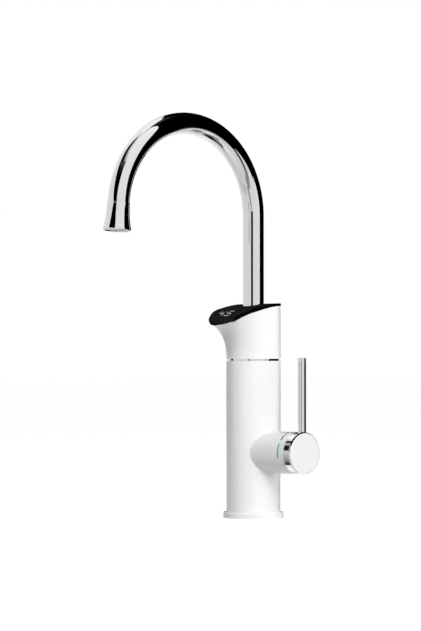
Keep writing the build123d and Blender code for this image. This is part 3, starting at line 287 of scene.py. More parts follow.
class Bench:
    """The few hand operations that every modelled piece is made with."""

    @staticmethod
    def clear_selection() -> None:
        """Leaves edit mode and deselects every object."""
        if bpy.context.object is not None and bpy.context.object.mode != "OBJECT":
            bpy.ops.object.mode_set(mode="OBJECT")
        bpy.ops.object.select_all(action="DESELECT")

    @staticmethod
    def only(piece: bpy.types.Object) -> None:
        """Makes a piece the only selected and active object.

        Args:
            piece: The object to work on.
        """
        Bench.clear_selection()
        piece.select_set(True)
        bpy.context.view_layer.objects.active = piece

    @staticmethod
    def apply(piece: bpy.types.Object, kind: str, **settings: object) -> None:
        """Adds a modifier, sets it and applies it.

        Args:
            piece: The object to change.
            kind: The modifier's type.
            settings: Values for the modifier's fields.
        """
        Bench.only(piece)
        modifier = piece.modifiers.new(kind.title(), kind)
        for key, value in settings.items():
            setattr(modifier, key, value)
        bpy.ops.object.modifier_apply(modifier=modifier.name)

    @staticmethod
    def pick(piece: bpy.types.Object, test: Callable[[Vector], bool]) -> None:
        """Opens a piece in edit mode with the vertices that pass a test selected.

        Args:
            piece: The object to work on.
            test: Tells from a vertex's place whether it is wanted.
        """
        Bench.only(piece)
        bpy.ops.object.mode_set(mode="EDIT")
        bpy.ops.mesh.select_mode(type="VERT")
        bpy.ops.mesh.select_all(action="DESELECT")
        bpy.ops.object.mode_set(mode="OBJECT")
        for vertex in piece.data.vertices:
            vertex.select = test(vertex.co)
        bpy.ops.object.mode_set(mode="EDIT")

    @staticmethod
    def turned(name: str, profile: Sequence[Spot], sides: int, solid: bool) -> bpy.types.Object:
        """Turns a piece about the Z axis, ring by ring.

        Args:
            name: The piece's name.
            profile: Radius and height of each ring. The profile of a hollow piece ends where it starts.
            sides: How many sides a ring has.
            solid: Whether both ends are closed by a face; otherwise the last ring joins the first.

        Returns:
            The closed piece.
        """
        radius, height = profile[0]
        Bench.clear_selection()
        bpy.ops.mesh.primitive_circle_add(vertices=sides, radius=radius, location=(0.0, 0.0, height),
                                          fill_type="NGON" if solid else "NOTHING")
        piece = bpy.context.object
        piece.name = name
        bpy.ops.object.transform_apply(location=True, rotation=True, scale=True)
        bpy.ops.object.mode_set(mode="EDIT")
        bpy.ops.mesh.select_mode(type="VERT")
        bpy.ops.mesh.select_all(action="SELECT")
        for (old, low), (new, high) in zip(profile, profile[1:]):
            bpy.ops.mesh.extrude_region_move(TRANSFORM_OT_translate={"value": (0.0, 0.0, high - low)})
            bpy.ops.transform.resize(value=(new / old, new / old, 1.0), center_override=(0.0, 0.0, high))
        Bench.tidy_mesh(piece)
        return piece

    @staticmethod
    def copied(node: bpy.types.Object, name: str) -> bpy.types.Object:
        """Copies a node of the frame as a piece of its own with merged points.

        Args:
            node: The frame's node.
            name: The copy's name.

        Returns:
            The copy, on no body yet.
        """
        Bench.only(node)
        bpy.ops.object.duplicate()
        piece = bpy.context.object
        piece.name = name
        bpy.ops.object.parent_clear(type="CLEAR_KEEP_TRANSFORM")
        Bench.tidy_mesh(piece)
        return piece

    @staticmethod
    def tidy_mesh(piece: bpy.types.Object) -> None:
        """Merges doubled points and turns all faces outwards.

        Args:
            piece: The object to tidy.
        """
        Bench.only(piece)
        bpy.ops.object.mode_set(mode="EDIT")
        bpy.ops.mesh.select_all(action="SELECT")
        bpy.ops.mesh.remove_doubles(threshold=0.000002)
        bpy.ops.mesh.normals_make_consistent(inside=False)
        bpy.ops.object.mode_set(mode="OBJECT")

    @staticmethod
    def settle(piece: bpy.types.Object, body: str, finish: Finish, smooth: float = 35.0) -> bpy.types.Object:
        """Bakes a piece's place into its mesh, shades it, dresses it and lets it ride on a body.

        Args:
            piece: The finished object.
            body: The body that it moves with.
            finish: Its surface finish.
            smooth: Edges up to this many degrees are shaded smooth.

        Returns:
            The same object.
        """
        Bench.only(piece)
        bpy.ops.object.transform_apply(location=True, rotation=True, scale=True)
        bpy.ops.object.shade_smooth_by_angle(angle=math.radians(smooth))
        finish.dress(piece)
        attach(piece, body)
        LOG.info("%s: %d faces, rides on %s", piece.name, len(piece.data.polygons), body)
        return piece


# Sub-assemblies

@dataclass
class Assembly:
    """A group of the frame's nodes and the pieces modelled for it.

    Attributes:
        nodes: The frame's nodes by name.
        finishes: The finish of each node that the group carries.
    """

    nodes: dict[str, bpy.types.Object]
    finishes: dict[str, Finish] = field(default_factory=dict)

    def dress(self) -> None:
        """Gives each of the group's nodes its finish."""
        for name, finish in self.finishes.items():
            finish.dress(self.nodes[name])
            LOG.info("%s: dressed as %s", name, finish.name)

    def build(self) -> None:
        """Models the group's own pieces; a group that has none leaves this as it is."""


@dataclass
class Base(Assembly):
    """The flange on the deck, the mounting base inside it and the supply fittings."""

    def __post_init__(self) -> None:
        """Names the finish of each piece."""
        self.finishes = {
            "base_flange": WHITE_SHELL,
            "base_gasket": RUBBER,
            "mounting_base": BRASS,
            "base_screws": STAINLESS,
            "cable_gland": BLACK_NYLON,
            "inlet_strainer": STAINLESS,
            "inlet_pipe": BRASS,
            "terminal_block": WHITE_ACETAL,
            "terminal_screws": BRASS,
            "earth_screw": STAINLESS,
        }


@dataclass
class Housing(Assembly):
    """The white body: lower housing with the handle's stub, chrome trim and flared upper housing.

    Attributes:
        mark_x: Middle of the printed marks along the stub.
        mark_width: Their width.
        mark_lift: How far they stand on the stub.
        hot_arc: Where the hot mark starts and ends, in degrees from the top towards the front.
        cold_arc: The same for the cold mark.
        arc_steps: Faces along a mark.
    """

    mark_x: float = 55.0 * MM
    mark_width: float = 2.0 * MM
    mark_lift: float = 0.05 * MM
    hot_arc: Spot = (22.0, 48.0)
    cold_arc: Spot = (65.0, 100.0)
    arc_steps: int = 24

    def __post_init__(self) -> None:
        """Names the finish of each piece."""
        self.finishes = {
            "lower_housing": WHITE_SHELL,
            "trim_band": CHROME,
            "upper_housing": WHITE_SHELL,
        }

    def build(self) -> None:
        """Prints the hot and cold marks on the stub."""
        self._mark("hot_mark", self.hot_arc, HOT_INK)
        self._mark("cold_mark", self.cold_arc, COLD_INK)

    def _stub(self) -> tuple[float, float]:
        """Height of the stub's axis and its radius, read from the handle's ring."""
        low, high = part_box("handle_ring")
        return (low.z + high.z) / 2, (high.z - low.z) / 2

    def _mark(self, name: str, arc: Spot, ink: Finish) -> bpy.types.Object:
        """Spins a short line round the stub's axis into a thin printed arc.

        Args:
            name: The piece's name.
            arc: Where it starts and ends, in degrees from the top towards the front.
            ink: Its finish.

        Returns:
            The printed arc.
        """
        height, radius = self._stub()
        lift = radius + self.mark_lift
        start, end = (math.radians(a) for a in arc)
        centre = (self.mark_x, 0.0, height)
        Bench.clear_selection()
        bpy.ops.mesh.primitive_plane_add(size=self.mark_width, location=(self.mark_x, 0.0, height + lift))
        piece = bpy.context.object
        piece.name = name
        bpy.ops.object.transform_apply(location=True, rotation=True, scale=True)
        turned = Matrix.Rotation(start, 4, "X")
        piece.data.transform(Matrix.Translation(centre) @ turned @ Matrix.Translation(-Vector(centre)))
        middle = sum((v.co.y for v in piece.data.vertices), 0.0) / len(piece.data.vertices)
        Bench.pick(piece, lambda place: place.y < middle)
        bpy.ops.mesh.spin(steps=self.arc_steps, angle=end - start, center=centre, axis=(-1, 0, 0))
        Bench.tidy_mesh(piece)
        Bench.apply(piece, "SOLIDIFY", thickness=self.mark_lift / 2, offset=-1.0)
        return Bench.settle(piece, "body", ink)


@dataclass
class Valve(Assembly):
    """The ceramic headpart behind the handle."""

    def __post_init__(self) -> None:
        """Names the finish of each piece."""
        self.finishes = {
            "valve_body": BRASS,
            "disc_seal": RUBBER,
            "fixed_ceramic_disc": CERAMIC,
            "moving_ceramic_disc": CERAMIC,
            "headpart_bush": BRASS,
            "valve_stem": BRASS,
            "stem_orings": RUBBER,
            "stem_clip": STAINLESS,
        }


@dataclass
class Handle(Assembly):
    """The rotary handle: chrome ring, chrome face and upright rod.

    Attributes:
        sides: Sides of a turned ring.
        rod_edge: Rounding of the rod's top.
        edge_steps: Rings along that rounding.
        spigot_radius: Radius of the rod's spigot.
        spigot_length: Length of the spigot that sits in the ring.
        hold: Distance of the ring that keeps the straight part's shading straight.
    """

    sides: int = 96
    rod_edge: float = 0.35 * MM
    edge_steps: int = 5
    spigot_radius: float = 2.2 * MM
    spigot_length: float = 8.0 * MM
    hold: float = 0.3 * MM

    def __post_init__(self) -> None:
        """Names the finish of each piece."""
        self.finishes = {
            "handle_guide": WHITE_ACETAL,
            "handle_ring": CHROME,
            "handle_cap": CHROME,
            "handle_screw": STAINLESS,
            "lever_rod": CHROME,
        }

    def build(self) -> None:
        """Turns the rod with its rounded top and the spigot that sits in the ring."""
        low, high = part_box("lever_rod")
        radius = (high.x - low.x) / 2
        foot = low.z + self.spigot_length
        edge = self.rod_edge
        half = edge * math.sqrt(0.5)
        top = arc_points((radius, high.z - edge), (radius - edge + half, high.z - edge + half),
                         (radius - edge, high.z), self.edge_steps)
        profile = [(self.spigot_radius, low.z), (self.spigot_radius, foot), (radius, foot),
                   (radius, high.z - edge - self.hold), (radius, high.z - edge), *top]
        rod = Bench.turned("rod", profile, self.sides, solid=True)
        rod.location = ((low.x + high.x) / 2, (low.y + high.y) / 2, 0.0)
        Bench.settle(rod, "handle", CHROME)
        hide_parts("lever_rod")


@dataclass
class FlowSwitch(Assembly):
    """The flow switch between valve and tank.

    Attributes:
        travel: How far the piston rises and presses the spring; not used.
    """

    travel: float = 5.0 * MM

    def __post_init__(self) -> None:
        """Names the finish of each piece."""
        self.finishes = {
            "flow_switch_body": WHITE_ACETAL,
            "flow_piston": WHITE_ACETAL,
            "piston_magnet": MAGNET,
            "return_spring": STAINLESS,
            "reed_clip": BLACK_NYLON,
            "reed_switch": REED_GLASS,
        }

    def build(self) -> None:
        """Copies the return spring as a piece of its own."""
        coil = Bench.copied(self.nodes["return_spring"], "spring_coil")
        Bench.settle(coil, "body", STAINLESS)
        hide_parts("return_spring")
        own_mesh(coil)


@dataclass
class Heater(Assembly):
    """The tank and its heating elements."""

    def __post_init__(self) -> None:
        """Names the finish of each piece."""
        self.finishes = {
            "tank_shell": STAINLESS,
            "tank_cover": STAINLESS,
            "tank_seal": RUBBER,
            "tank_screws": STAINLESS,
            "heating_element_main": STAINLESS,
            "heating_element_boost": STAINLESS,
            "heater_bushes": BRASS,
            "heater_nuts": BRASS,
            "temperature_probe": STAINLESS,
            "thermal_cutout": BLACK_NYLON,
            "cutout_strap": STAINLESS,
            "power_board": BOARD_GREEN,
            "triac": BLACK_NYLON,
        }


@dataclass
class Spout(Assembly):
    """The swivelling swan-neck spout and its socket.

    Attributes:
        tube_radius: Outer radius of the tube.
        tube_wall: Its wall.
        bend_radius: Radius of the bend's middle line.
        bend_sweep: How far the bend turns, in degrees.
        joint: How far the tube reaches into the nozzle.
        neck: Radius of the nozzle at the tube.
        mouth: Its radius at the lip.
        belly: Where the flare of the nozzle starts to open, as shares of its widening and its length.
        length: Length of the nozzle.
        lip_edge: Rounding of the lip.
        lip_recess: How far the aerator stands back from the lip.
        aerator_radius: Bore for the aerator.
        aerator_depth: Depth of that bore.
        bore_radius: Bore of the nozzle above the aerator.
        fit: Gap round the tube in the nozzle.
        sides: Sides of a ring.
        bend_steps: Rings along the bend.
        flare_steps: Rings along the flare of the nozzle.
        lip_steps: Rings round the lip.
        hold: Distance of the ring that keeps the straight part's shading straight.
    """

    tube_radius: float = 10.0 * MM
    tube_wall: float = 1.0 * MM
    bend_radius: float = 84.4 * MM
    bend_sweep: float = 175.5
    joint: float = 6.0 * MM
    neck: float = 10.5 * MM
    mouth: float = 13.2 * MM
    belly: Spot = (0.28, 0.55)
    length: float = 26.2 * MM
    lip_edge: float = 1.5 * MM
    lip_recess: float = 1.0 * MM
    aerator_radius: float = 11.2 * MM
    aerator_depth: float = 11.1 * MM
    bore_radius: float = 8.6 * MM
    fit: float = 0.05 * MM
    sides: int = 128
    bend_steps: int = 110
    flare_steps: int = 24
    lip_steps: int = 8
    hold: float = 0.3 * MM

    def __post_init__(self) -> None:
        """Names the finish of each piece."""
        self.finishes = {
            "spout_socket": BRASS,
            "socket_nut": BRASS,
            "retaining_screw": STAINLESS,
            "spout_tail": BRASS,
            "spout_orings": RUBBER,
            "spout_tube": CHROME,
            "nozzle": CHROME,
            "aerator_washer": RUBBER,
            "aerator_housing": WHITE_ACETAL,
            "aerator_insert": WHITE_ACETAL,
        }

    def build(self) -> None:
        """Bends the tube and turns the nozzle."""
        self._tube()
        self._nozzle()

    def _tube(self) -> bpy.types.Object:
        """Draws a ring up the straight, spins it round the bend and gives it a wall.

        Returns:
            The tube.
        """
        low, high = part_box("spout_tube")
        start = high.z - self.bend_radius - self.tube_radius
        sweep = math.radians(self.bend_sweep)
        way_out = Vector((0.0, -math.sin(sweep), math.cos(sweep)))
        Bench.clear_selection()
        bpy.ops.mesh.primitive_circle_add(vertices=self.sides, radius=self.tube_radius,
                                          location=(0.0, 0.0, low.z), fill_type="NOTHING")
        piece = bpy.context.object
        piece.name = "spout_pipe"
        bpy.ops.object.transform_apply(location=True, rotation=True, scale=True)
        bpy.ops.object.mode_set(mode="EDIT")
        bpy.ops.mesh.select_mode(type="VERT")
        bpy.ops.mesh.select_all(action="SELECT")
        for rise in (start - low.z - self.hold, self.hold):
            bpy.ops.mesh.extrude_region_move(TRANSFORM_OT_translate={"value": (0.0, 0.0, rise)})
        bpy.ops.mesh.spin(steps=self.bend_steps, angle=sweep, center=(0.0, -self.bend_radius, start),
                          axis=(-1.0, 0.0, 0.0))
        bpy.ops.mesh.extrude_region_move(TRANSFORM_OT_translate={"value": tuple(way_out * self.joint)})
        Bench.tidy_mesh(piece)
        Bench.apply(piece, "SOLIDIFY", thickness=self.tube_wall, offset=-1.0)
        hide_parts("spout_tube")
        return Bench.settle(piece, "spout", CHROME)

    def _nozzle(self) -> bpy.types.Object:
        """Turns the flared nozzle with its rounded lip and stepped bore, and sets it on the tube's end.

        Returns:
            The nozzle.
        """
        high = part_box("spout_tube")[1]
        start = high.z - self.bend_radius - self.tube_radius
        sweep = math.radians(self.bend_sweep)
        widest = (self.mouth, self.length - self.lip_edge)
        belly = (self.neck + (self.mouth - self.neck) * self.belly[0], self.length * self.belly[1])
        inner = self.mouth - self.lip_edge
        half = self.lip_edge * math.sqrt(0.5)
        seat = self.length - self.lip_recess - self.aerator_depth
        profile = [(self.neck, 0.0), *arc_points((self.neck, 0.0), belly, widest, self.flare_steps)]
        profile += arc_points(widest, (inner + half, widest[1] + half), (inner, self.length), self.lip_steps)
        profile += [(self.aerator_radius, self.length - self.lip_recess), (self.aerator_radius, seat),
                    (self.bore_radius, seat), (self.bore_radius, self.joint),
                    (self.tube_radius + self.fit, self.joint), (self.tube_radius + self.fit, 0.0),
                    (self.neck, 0.0)]
        piece = Bench.turned("spout_nozzle", profile, self.sides, solid=False)
        end = (0.0, -self.bend_radius * (1 - math.cos(sweep)), start + self.bend_radius * math.sin(sweep))
        piece.data.transform(Matrix.Translation(end) @ Matrix.Rotation(sweep, 4, "X"))
        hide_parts("nozzle")
        return Bench.settle(piece, "spout", CHROME)


class Digit(Enum):
    """The bars that light up for a digit: top, upper left, upper right, middle, and so on down."""

    FOUR = ("upper_left", "middle", "upper_right", "lower_right")
    FIVE = ("top", "upper_left", "middle", "lower_right", "bottom")


SHOWN_DIGITS = (Digit.FOUR, Digit.FIVE)
BAR_ENDS: dict[str, tuple[Spot, Spot]] = {
    "top": ((0.0, 1.0), (1.0, 1.0)),
    "upper_left": ((0.0, 0.5), (0.0, 1.0)),
    "upper_right": ((1.0, 0.5), (1.0, 1.0)),
    "middle": ((0.0, 0.5), (1.0, 0.5)),
    "lower_left": ((0.0, 0.0), (0.0, 0.5)),
    "lower_right": ((1.0, 0.0), (1.0, 0.5)),
    "bottom": ((0.0, 0.0), (1.0, 0.0)),
}


@dataclass
class Display(Assembly):
    """The sloping black cap with its window and its lit digits.

    Attributes:
        digit_height: Height of a digit along the slope.
        digit_width: Width of a digit.
        stroke: Width of a lit bar.
        first_x: Middle of the first digit across the window.
        digit_pitch: Distance between the digits' middles.
        middle_y: Middle of the digits along the window.
        lift: How far the lit marks stand on the window.
        bar_gap: Gap between neighbouring bars.
        nose_height: How high the rounding of the cap's nose reaches.
        nose_inset: How far the nose's lower edge stands back.
        nose_reach: Where along the cap the rounding starts and where it is full.
        nose_centre: How far in front of the spout the middle of the cap lies.
        cuts: How many level cuts give the rounding its rows.
        cuts_in_height: How many of them fall within the rounding's height.
        nose_least: The least share of rounding that counts as the nose.
        painted_sheen_drop: How far down the nose the painted reflection's grey reaches, as a share of its
            height.
        level_face: The upward part of a normal from which a face counts as level; the cap's level faces get
            the painted reflection's grey.
        corner: How much of a bar's width its cut corners take.
    """

    digit_height: float = 8.8 * MM
    digit_width: float = 6.2 * MM
    stroke: float = 0.78 * MM
    first_x: float = -8.5 * MM
    digit_pitch: float = 10.4 * MM
    middle_y: float = -33.4 * MM
    lift: float = 0.03 * MM
    bar_gap: float = 0.6 * MM
    nose_height: float = 4.4 * MM
    nose_inset: float = 4.9 * MM
    nose_reach: tuple[float, float] = (-33.0 * MM, -46.0 * MM)
    nose_centre: float = 25.0 * MM
    cuts: int = 10
    cuts_in_height: int = 8
    nose_least: float = 0.05
    painted_sheen_drop: float = 0.7
    level_face: float = 0.5
    corner: float = 0.4

    def __post_init__(self) -> None:
        """Names the finish of each piece."""
        self.finishes = {
            "display_cap": BLACK_SHELL,
            "display_window": SMOKED_LENS_AND_PAINTED_SHEEN,
            "display_board": BOARD_GREEN,
            "board_screws": STAINLESS,
            "digit_module": DIGIT_BLOCK,
        }

    def build(self) -> None:
        """Rounds the cap's nose, paints the grey of a reflection on its sloping face and lights the two
        digits in the window.
        """
        self._cap()
        bars = [self._bar(index, BAR_ENDS[bar]) for index, digit in enumerate(SHOWN_DIGITS)
                for bar in digit.value]
        Bench.clear_selection()
        for bar in bars:
            bar.select_set(True)
        bpy.context.view_layer.objects.active = bars[0]
        bpy.ops.object.join()
        digits = bars[0]
        digits.name = "lit_digits"
        self._lay(digits)

    def _cap(self) -> bpy.types.Object:
        """Copies the cap and rounds the lower edge of its nose; its level faces and the top of the nose get a
        lighter grey, a painted reflection of the light on the sloping face, while its sides stay black.

        Returns:
            The cap.
        """
        cap = Bench.copied(self.nodes["display_cap"], "rounded_cap")
        floor = min(vertex.co.z for vertex in cap.data.vertices)
        for step in range(1, self.cuts + 1):
            Bench.pick(cap, lambda place: True)
            bpy.ops.mesh.bisect(plane_co=(0.0, 0.0, floor + step * self.nose_height / self.cuts_in_height),
                                plane_no=(0.0, 0.0, 1.0))
        Bench.clear_selection()
        rim = self._rim(cap)
        group = cap.vertex_groups.new(name="nose")
        for vertex in cap.data.vertices:
            share = self._nose_share(vertex.co.y)
            rise = (vertex.co.z - self._rim_height(rim, vertex.co)) / self.nose_height
            depth = min(max(1.0 - rise, 0.0), 1.0)
            share *= max(-Vector((vertex.co.x, vertex.co.y + self.nose_centre)).normalized().y, 0.0)
            group.add([vertex.index], share * (1.0 - math.sqrt(1.0 - depth * depth)), "REPLACE")
        Bench.apply(cap, "DISPLACE", direction="Y", mid_level=0.0, strength=self.nose_inset,
                    vertex_group="nose")
        Bench.settle(cap, "body", BLACK_SHELL)
        # Painted reflection: faces that point upwards, and the upper part of the nose, take the lighter
        # smoked grey instead of the cap's black.
        cap.data.materials.append(SMOKED_LENS_AND_PAINTED_SHEEN.material())
        for face in cap.data.polygons:
            share = self._nose_share(face.center.y)
            rise = face.center.z - self._rim_height(rim, face.center)
            painted_sheen_foot = self.nose_height * (1.0 - self.painted_sheen_drop * share)
            painted_sheen_on_nose = share > self.nose_least and rise > painted_sheen_foot and face.normal.z > -self.level_face
            if face.normal.z > self.level_face or painted_sheen_on_nose:
                face.material_index = 1
        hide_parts("display_cap")
        return cap

    def _rim(self, cap: bpy.types.Object) -> list[Vector]:
        """Finds the lower outer edge of the cap.

        Args:
            cap: The cap with merged points.

        Returns:
            The points along that edge.
        """
        mesh = cap.data
        sides: dict[tuple[int, int], list[Vector]] = {}
        for face in mesh.polygons:
            for key in face.edge_keys:
                sides.setdefault(key, []).append(face.normal.copy())
        rim = []
        for key, normals in sides.items():
            low, high = sorted(normals, key=lambda normal: normal.z)[:2]
            middle = (mesh.vertices[key[0]].co + mesh.vertices[key[1]].co) / 2
            outward = Vector((middle.x, middle.y + self.nose_centre, 0.0))
            is_corner = low.z < -self.level_face and abs(high.z) < self.level_face
            if is_corner and high.dot(outward) > 0.0:
                rim.append(middle)
        return rim

    @staticmethod
    def _rim_height(rim: Sequence[Vector], place: Vector) -> float:
        """Height of the lower edge below a place.

        Args:
            rim: The points of the edge.
            place: Where to measure.

        Returns:
            The height of the nearest point of the edge.
        """
        return min(rim, key=lambda spot: (spot.x - place.x) ** 2 + (spot.y - place.y) ** 2).z

    def _nose_share(self, along: float) -> float:
        """How much of the nose's rounding applies at a place along the cap.

        Args:
            along: The place along the Y axis.

        Returns:
            A share from 0 to 1.
        """
        start, full = self.nose_reach
        share = min(max((start - along) / (start - full), 0.0), 1.0)
        return share * share * (3.0 - 2.0 * share)

    def _spot(self, index: int, across: float, up: float) -> Vector:
        """A place on a digit, seen from above.

        Args:
            index: Which digit.
            across: Share of its width, from the left.
            up: Share of its height, from the bottom.

        Returns:
            The place, at the height of the window's top.
        """
        rise = (up - 0.5) * self.digit_height
        x = self.first_x + index * self.digit_pitch + (across - 0.5) * self.digit_width
        return Vector((x, self.middle_y + rise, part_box("display_window")[1].z + self.digit_height))

    def _bar(self, index: int, ends: tuple[Spot, Spot]) -> bpy.types.Object:
        """One lit bar with cut corners.

        Args:
            index: Which digit it belongs to.
            ends: Its two ends, as shares of the digit's width and height.

        Returns:
            The flat bar above the window.
        """
        first, last = (self._spot(index, *end) for end in ends)
        way = last - first
        Bench.clear_selection()
        bpy.ops.mesh.primitive_plane_add(size=1.0, location=(first + last) / 2,
                                         rotation=(0.0, 0.0, math.atan2(way.y, way.x)))
        bar = bpy.context.object
        bar.scale = (way.length + self.stroke - self.bar_gap * 2, self.stroke, 1.0)
        bpy.ops.object.transform_apply(location=True, rotation=True, scale=True)
        bpy.ops.object.mode_set(mode="EDIT")
        bpy.ops.mesh.select_all(action="SELECT")
        bpy.ops.mesh.bevel(offset=self.stroke * self.corner, affect="VERTICES")
        bpy.ops.object.mode_set(mode="OBJECT")
        return bar

    def _lay(self, mark: bpy.types.Object) -> None:
        """Lays a flat mark on the window and gives it a little thickness.

        Args:
            mark: The mark above the window.
        """
        Bench.tidy_mesh(mark)
        Bench.only(mark)
        wrap = mark.modifiers.new("Lay", "SHRINKWRAP")
        wrap.target = self.nodes["display_window"]
        wrap.wrap_method = "PROJECT"
        wrap.use_project_z = True
        wrap.use_negative_direction = True
        wrap.use_positive_direction = False
        wrap.offset = self.lift
        bpy.ops.object.modifier_apply(modifier=wrap.name)
        Bench.apply(mark, "SOLIDIFY", thickness=self.lift / 2, offset=-1.0)
        Bench.settle(mark, "body", DIGIT_LIGHT)


# Studio

def fine_rows(rows: Sequence[Sequence[float]], step: float) -> list[Sequence[float]]:
    """Fills in rows so that neighbours are no more than a step apart and a card curves.

    Args:
        rows: A card's rows, each starting with its angle.
        step: The largest difference in angle between two rows, in degrees.

    Returns:
        The rows from the lowest to the highest.
    """
    fine: list[Sequence[float]] = []
    for low, high in zip(rows, rows[1:]):
        parts = max(1, math.ceil((high[0] - low[0]) / step))
        fine += [[a + (b - a) * k / parts for a, b in zip(low, high)] for k in range(parts)]
    return fine + [rows[-1]]


@dataclass(frozen=True)
class Card:
    """A studio card that only shiny surfaces see, drawn by directions from the tap.

    Attributes:
        name: The card's name.
        distance: Its distance from the tap.
        rows: For each height in degrees above the horizon, the left and right edge, in degrees from
            the camera's direction, positive to the camera's right, and the brightness at both edges,
            where 0 is a black flag and 1 is white.
    """

    name: str
    distance: float
    rows: tuple[Row, ...]


@dataclass(frozen=True)
class RingCard:
    """A small card near the handle, laid out by the places on the ring that mirror it.

    Attributes:
        name: The card's name.
        tilts: How far the ring's surface leans towards the face at the card's two edges, in degrees.
        along: Where along the ring these edges are mirrored, as shares of its depth.
        rounding: Radius of the edge that mirrors the card, or 0 for the ring's straight side.
        rows: For each angle round the ring, from the front upwards in degrees, the card's brightness
            and its distance from the ring.
    """

    name: str
    tilts: Spot
    along: Spot
    rounding: float
    rows: tuple[Point, ...]


@dataclass
class Studio:
    """Camera, floor, lamps and cards.

    Attributes:
        azimuth: Direction of the camera round the tap, in degrees from the front towards the handle.
        distance: Distance of the camera from the tap's axis.
        eye_height: Height of the camera.
        frame_width: Width of the picture in pixels.
        frame_height: Height of the picture in pixels.
        axis_column: Picture column of the tap's axis.
        horizon_row: Picture row of the camera's own height.
        focal_pixels: Focal length in pixels.
        sensor: Width of the camera's sensor, in millimetres.
        view_end: How far the camera sees.
        floor_size: Side of the floor.
        floor_glow: Strength of the white that the floor shows.
        floor_colour: Grey of the floor as a matt surface.
        floor_glow_share: Share of that white in what is seen of the floor.
        card_centre: The point that the cards and lamps stand round.
        lamp_distance: Distance of the lamps.
        lamp_size: Side of a lamp.
        fill: Light that the surroundings give to matt surfaces.
        columns: Faces across a card.
        card_step: Greatest height of a card's face, in degrees.
        ring_step: The same round the ring, for a ring card.
        face_card_away: Distance of the card that the handle's face mirrors.
        face_card_size: Its width and height.
        face_card_level: Its brightness.
    """

    azimuth: float = 47.3
    distance: float = 2.63
    eye_height: float = 0.1509
    frame_width: int = 421
    frame_height: int = 631
    axis_column: float = 253.4
    horizon_row: float = 360.0
    focal_pixels: float = 2741.0
    sensor: float = 36.0
    view_end: float = 100.0
    floor_size: float = 24.0
    floor_glow: float = 1.16
    floor_colour: float = 0.6
    floor_glow_share: float = 0.85
    card_centre: Point = (0.0, -0.05, 0.2)
    lamp_distance: float = 2.2
    lamp_size: float = 1.2
    fill: float = 0.03
    columns: int = 16
    card_step: float = 5.0
    ring_step: float = 2.0
    face_card_away: float = 0.15
    face_card_size: Spot = (0.05, 0.043)
    face_card_level: float = 0.935

    def build(self) -> None:
        """Sets up the whole studio."""
        self._camera()
        self._floor()
        self._world()
        self._lamps()
        for card in CARDS:
            self._card(card)
        for card in RING_CARDS:
            self._ring_card(card)
        self._face_card()

    def _towards_camera(self) -> Vector:
        """The level direction from the tap to the camera."""
        a = math.radians(self.azimuth)
        return Vector((math.sin(a), -math.cos(a), 0.0))

    def _right(self) -> Vector:
        """The level direction to the camera's right."""
        a = math.radians(self.azimuth)
        return Vector((math.cos(a), math.sin(a), 0.0))

    def _camera(self) -> None:
        """Creates the camera and aims it so that the tap's axis and horizon fall where they should."""
        data = bpy.data.cameras.new("camera")
        data.sensor_width = self.sensor
        data.lens = self.focal_pixels * self.sensor / self.frame_height
        data.clip_end = self.view_end
        camera = bpy.data.objects.new("camera", data)
        bpy.context.scene.collection.objects.link(camera)
        camera.location = self._towards_camera() * self.distance + Vector((0.0, 0.0, self.eye_height))
        across = (self.frame_width / 2 - self.axis_column) / self.focal_pixels
        up = (self.horizon_row - self.frame_height / 2) / self.focal_pixels
        aim = -self._towards_camera() + self._right() * across + Vector((0.0, 0.0, up))
        camera.rotation_mode = "QUATERNION"
        camera.rotation_quaternion = aim.to_track_quat("-Z", "Y")
        bpy.context.scene.camera = camera

    def _direction(self, across: float, height: float) -> Vector:
        """The direction at angles from the camera's direction and above the horizon, in degrees."""
        a, h = math.radians(across), math.radians(height)
        level = self._towards_camera() * math.cos(a) + self._right() * math.sin(a)
        return level * math.cos(h) + Vector((0.0, 0.0, math.sin(h)))

    def _floor(self) -> None:
        """Lays a plain pale floor that shows white and keeps the tap's shadow."""
        Bench.clear_selection()
        bpy.ops.mesh.primitive_plane_add(size=self.floor_size, location=(0.0, 0.0, 0.0))
        floor = bpy.context.object
        floor.name = "floor"
        made = bpy.data.materials.new("pale_floor")
        made.use_nodes = True
        tree = made.node_tree
        tree.nodes.clear()
        out = tree.nodes.new("ShaderNodeOutputMaterial")
        lit = tree.nodes.new("ShaderNodeBsdfDiffuse")
        lit.inputs["Color"].default_value = (*[self.floor_colour] * 3, 1.0)
        seen = tree.nodes.new("ShaderNodeEmission")
        seen.inputs["Color"].default_value = (1.0, 1.0, 1.0, 1.0)
        seen.inputs["Strength"].default_value = self.floor_glow
        both = tree.nodes.new("ShaderNodeMixShader")
        share = tree.nodes.new("ShaderNodeMath")
        share.operation = "MULTIPLY"
        share.inputs[1].default_value = self.floor_glow_share
        tree.links.new(self._seen_directly(tree), share.inputs[0])
        tree.links.new(share.outputs[0], both.inputs[0])
        tree.links.new(lit.outputs[0], both.inputs[1])
        tree.links.new(seen.outputs[0], both.inputs[2])
        tree.links.new(both.outputs[0], out.inputs["Surface"])
        floor.data.materials.append(made)
        floor.visible_glossy = False

    @staticmethod
    def _seen_directly(tree: bpy.types.NodeTree) -> bpy.types.NodeSocket:
        """A value of 1 for rays from the camera, from a mirror or through glass."""
        path = tree.nodes.new("ShaderNodeLightPath")
        first = tree.nodes.new("ShaderNodeMath")
        first.operation = "MAXIMUM"
        second = tree.nodes.new("ShaderNodeMath")
        second.operation = "MAXIMUM"
        tree.links.new(path.outputs["Is Camera Ray"], first.inputs[0])
        tree.links.new(path.outputs["Is Glossy Ray"], first.inputs[1])
        tree.links.new(first.outputs[0], second.inputs[0])
        tree.links.new(path.outputs["Is Transmission Ray"], second.inputs[1])
        return second.outputs[0]

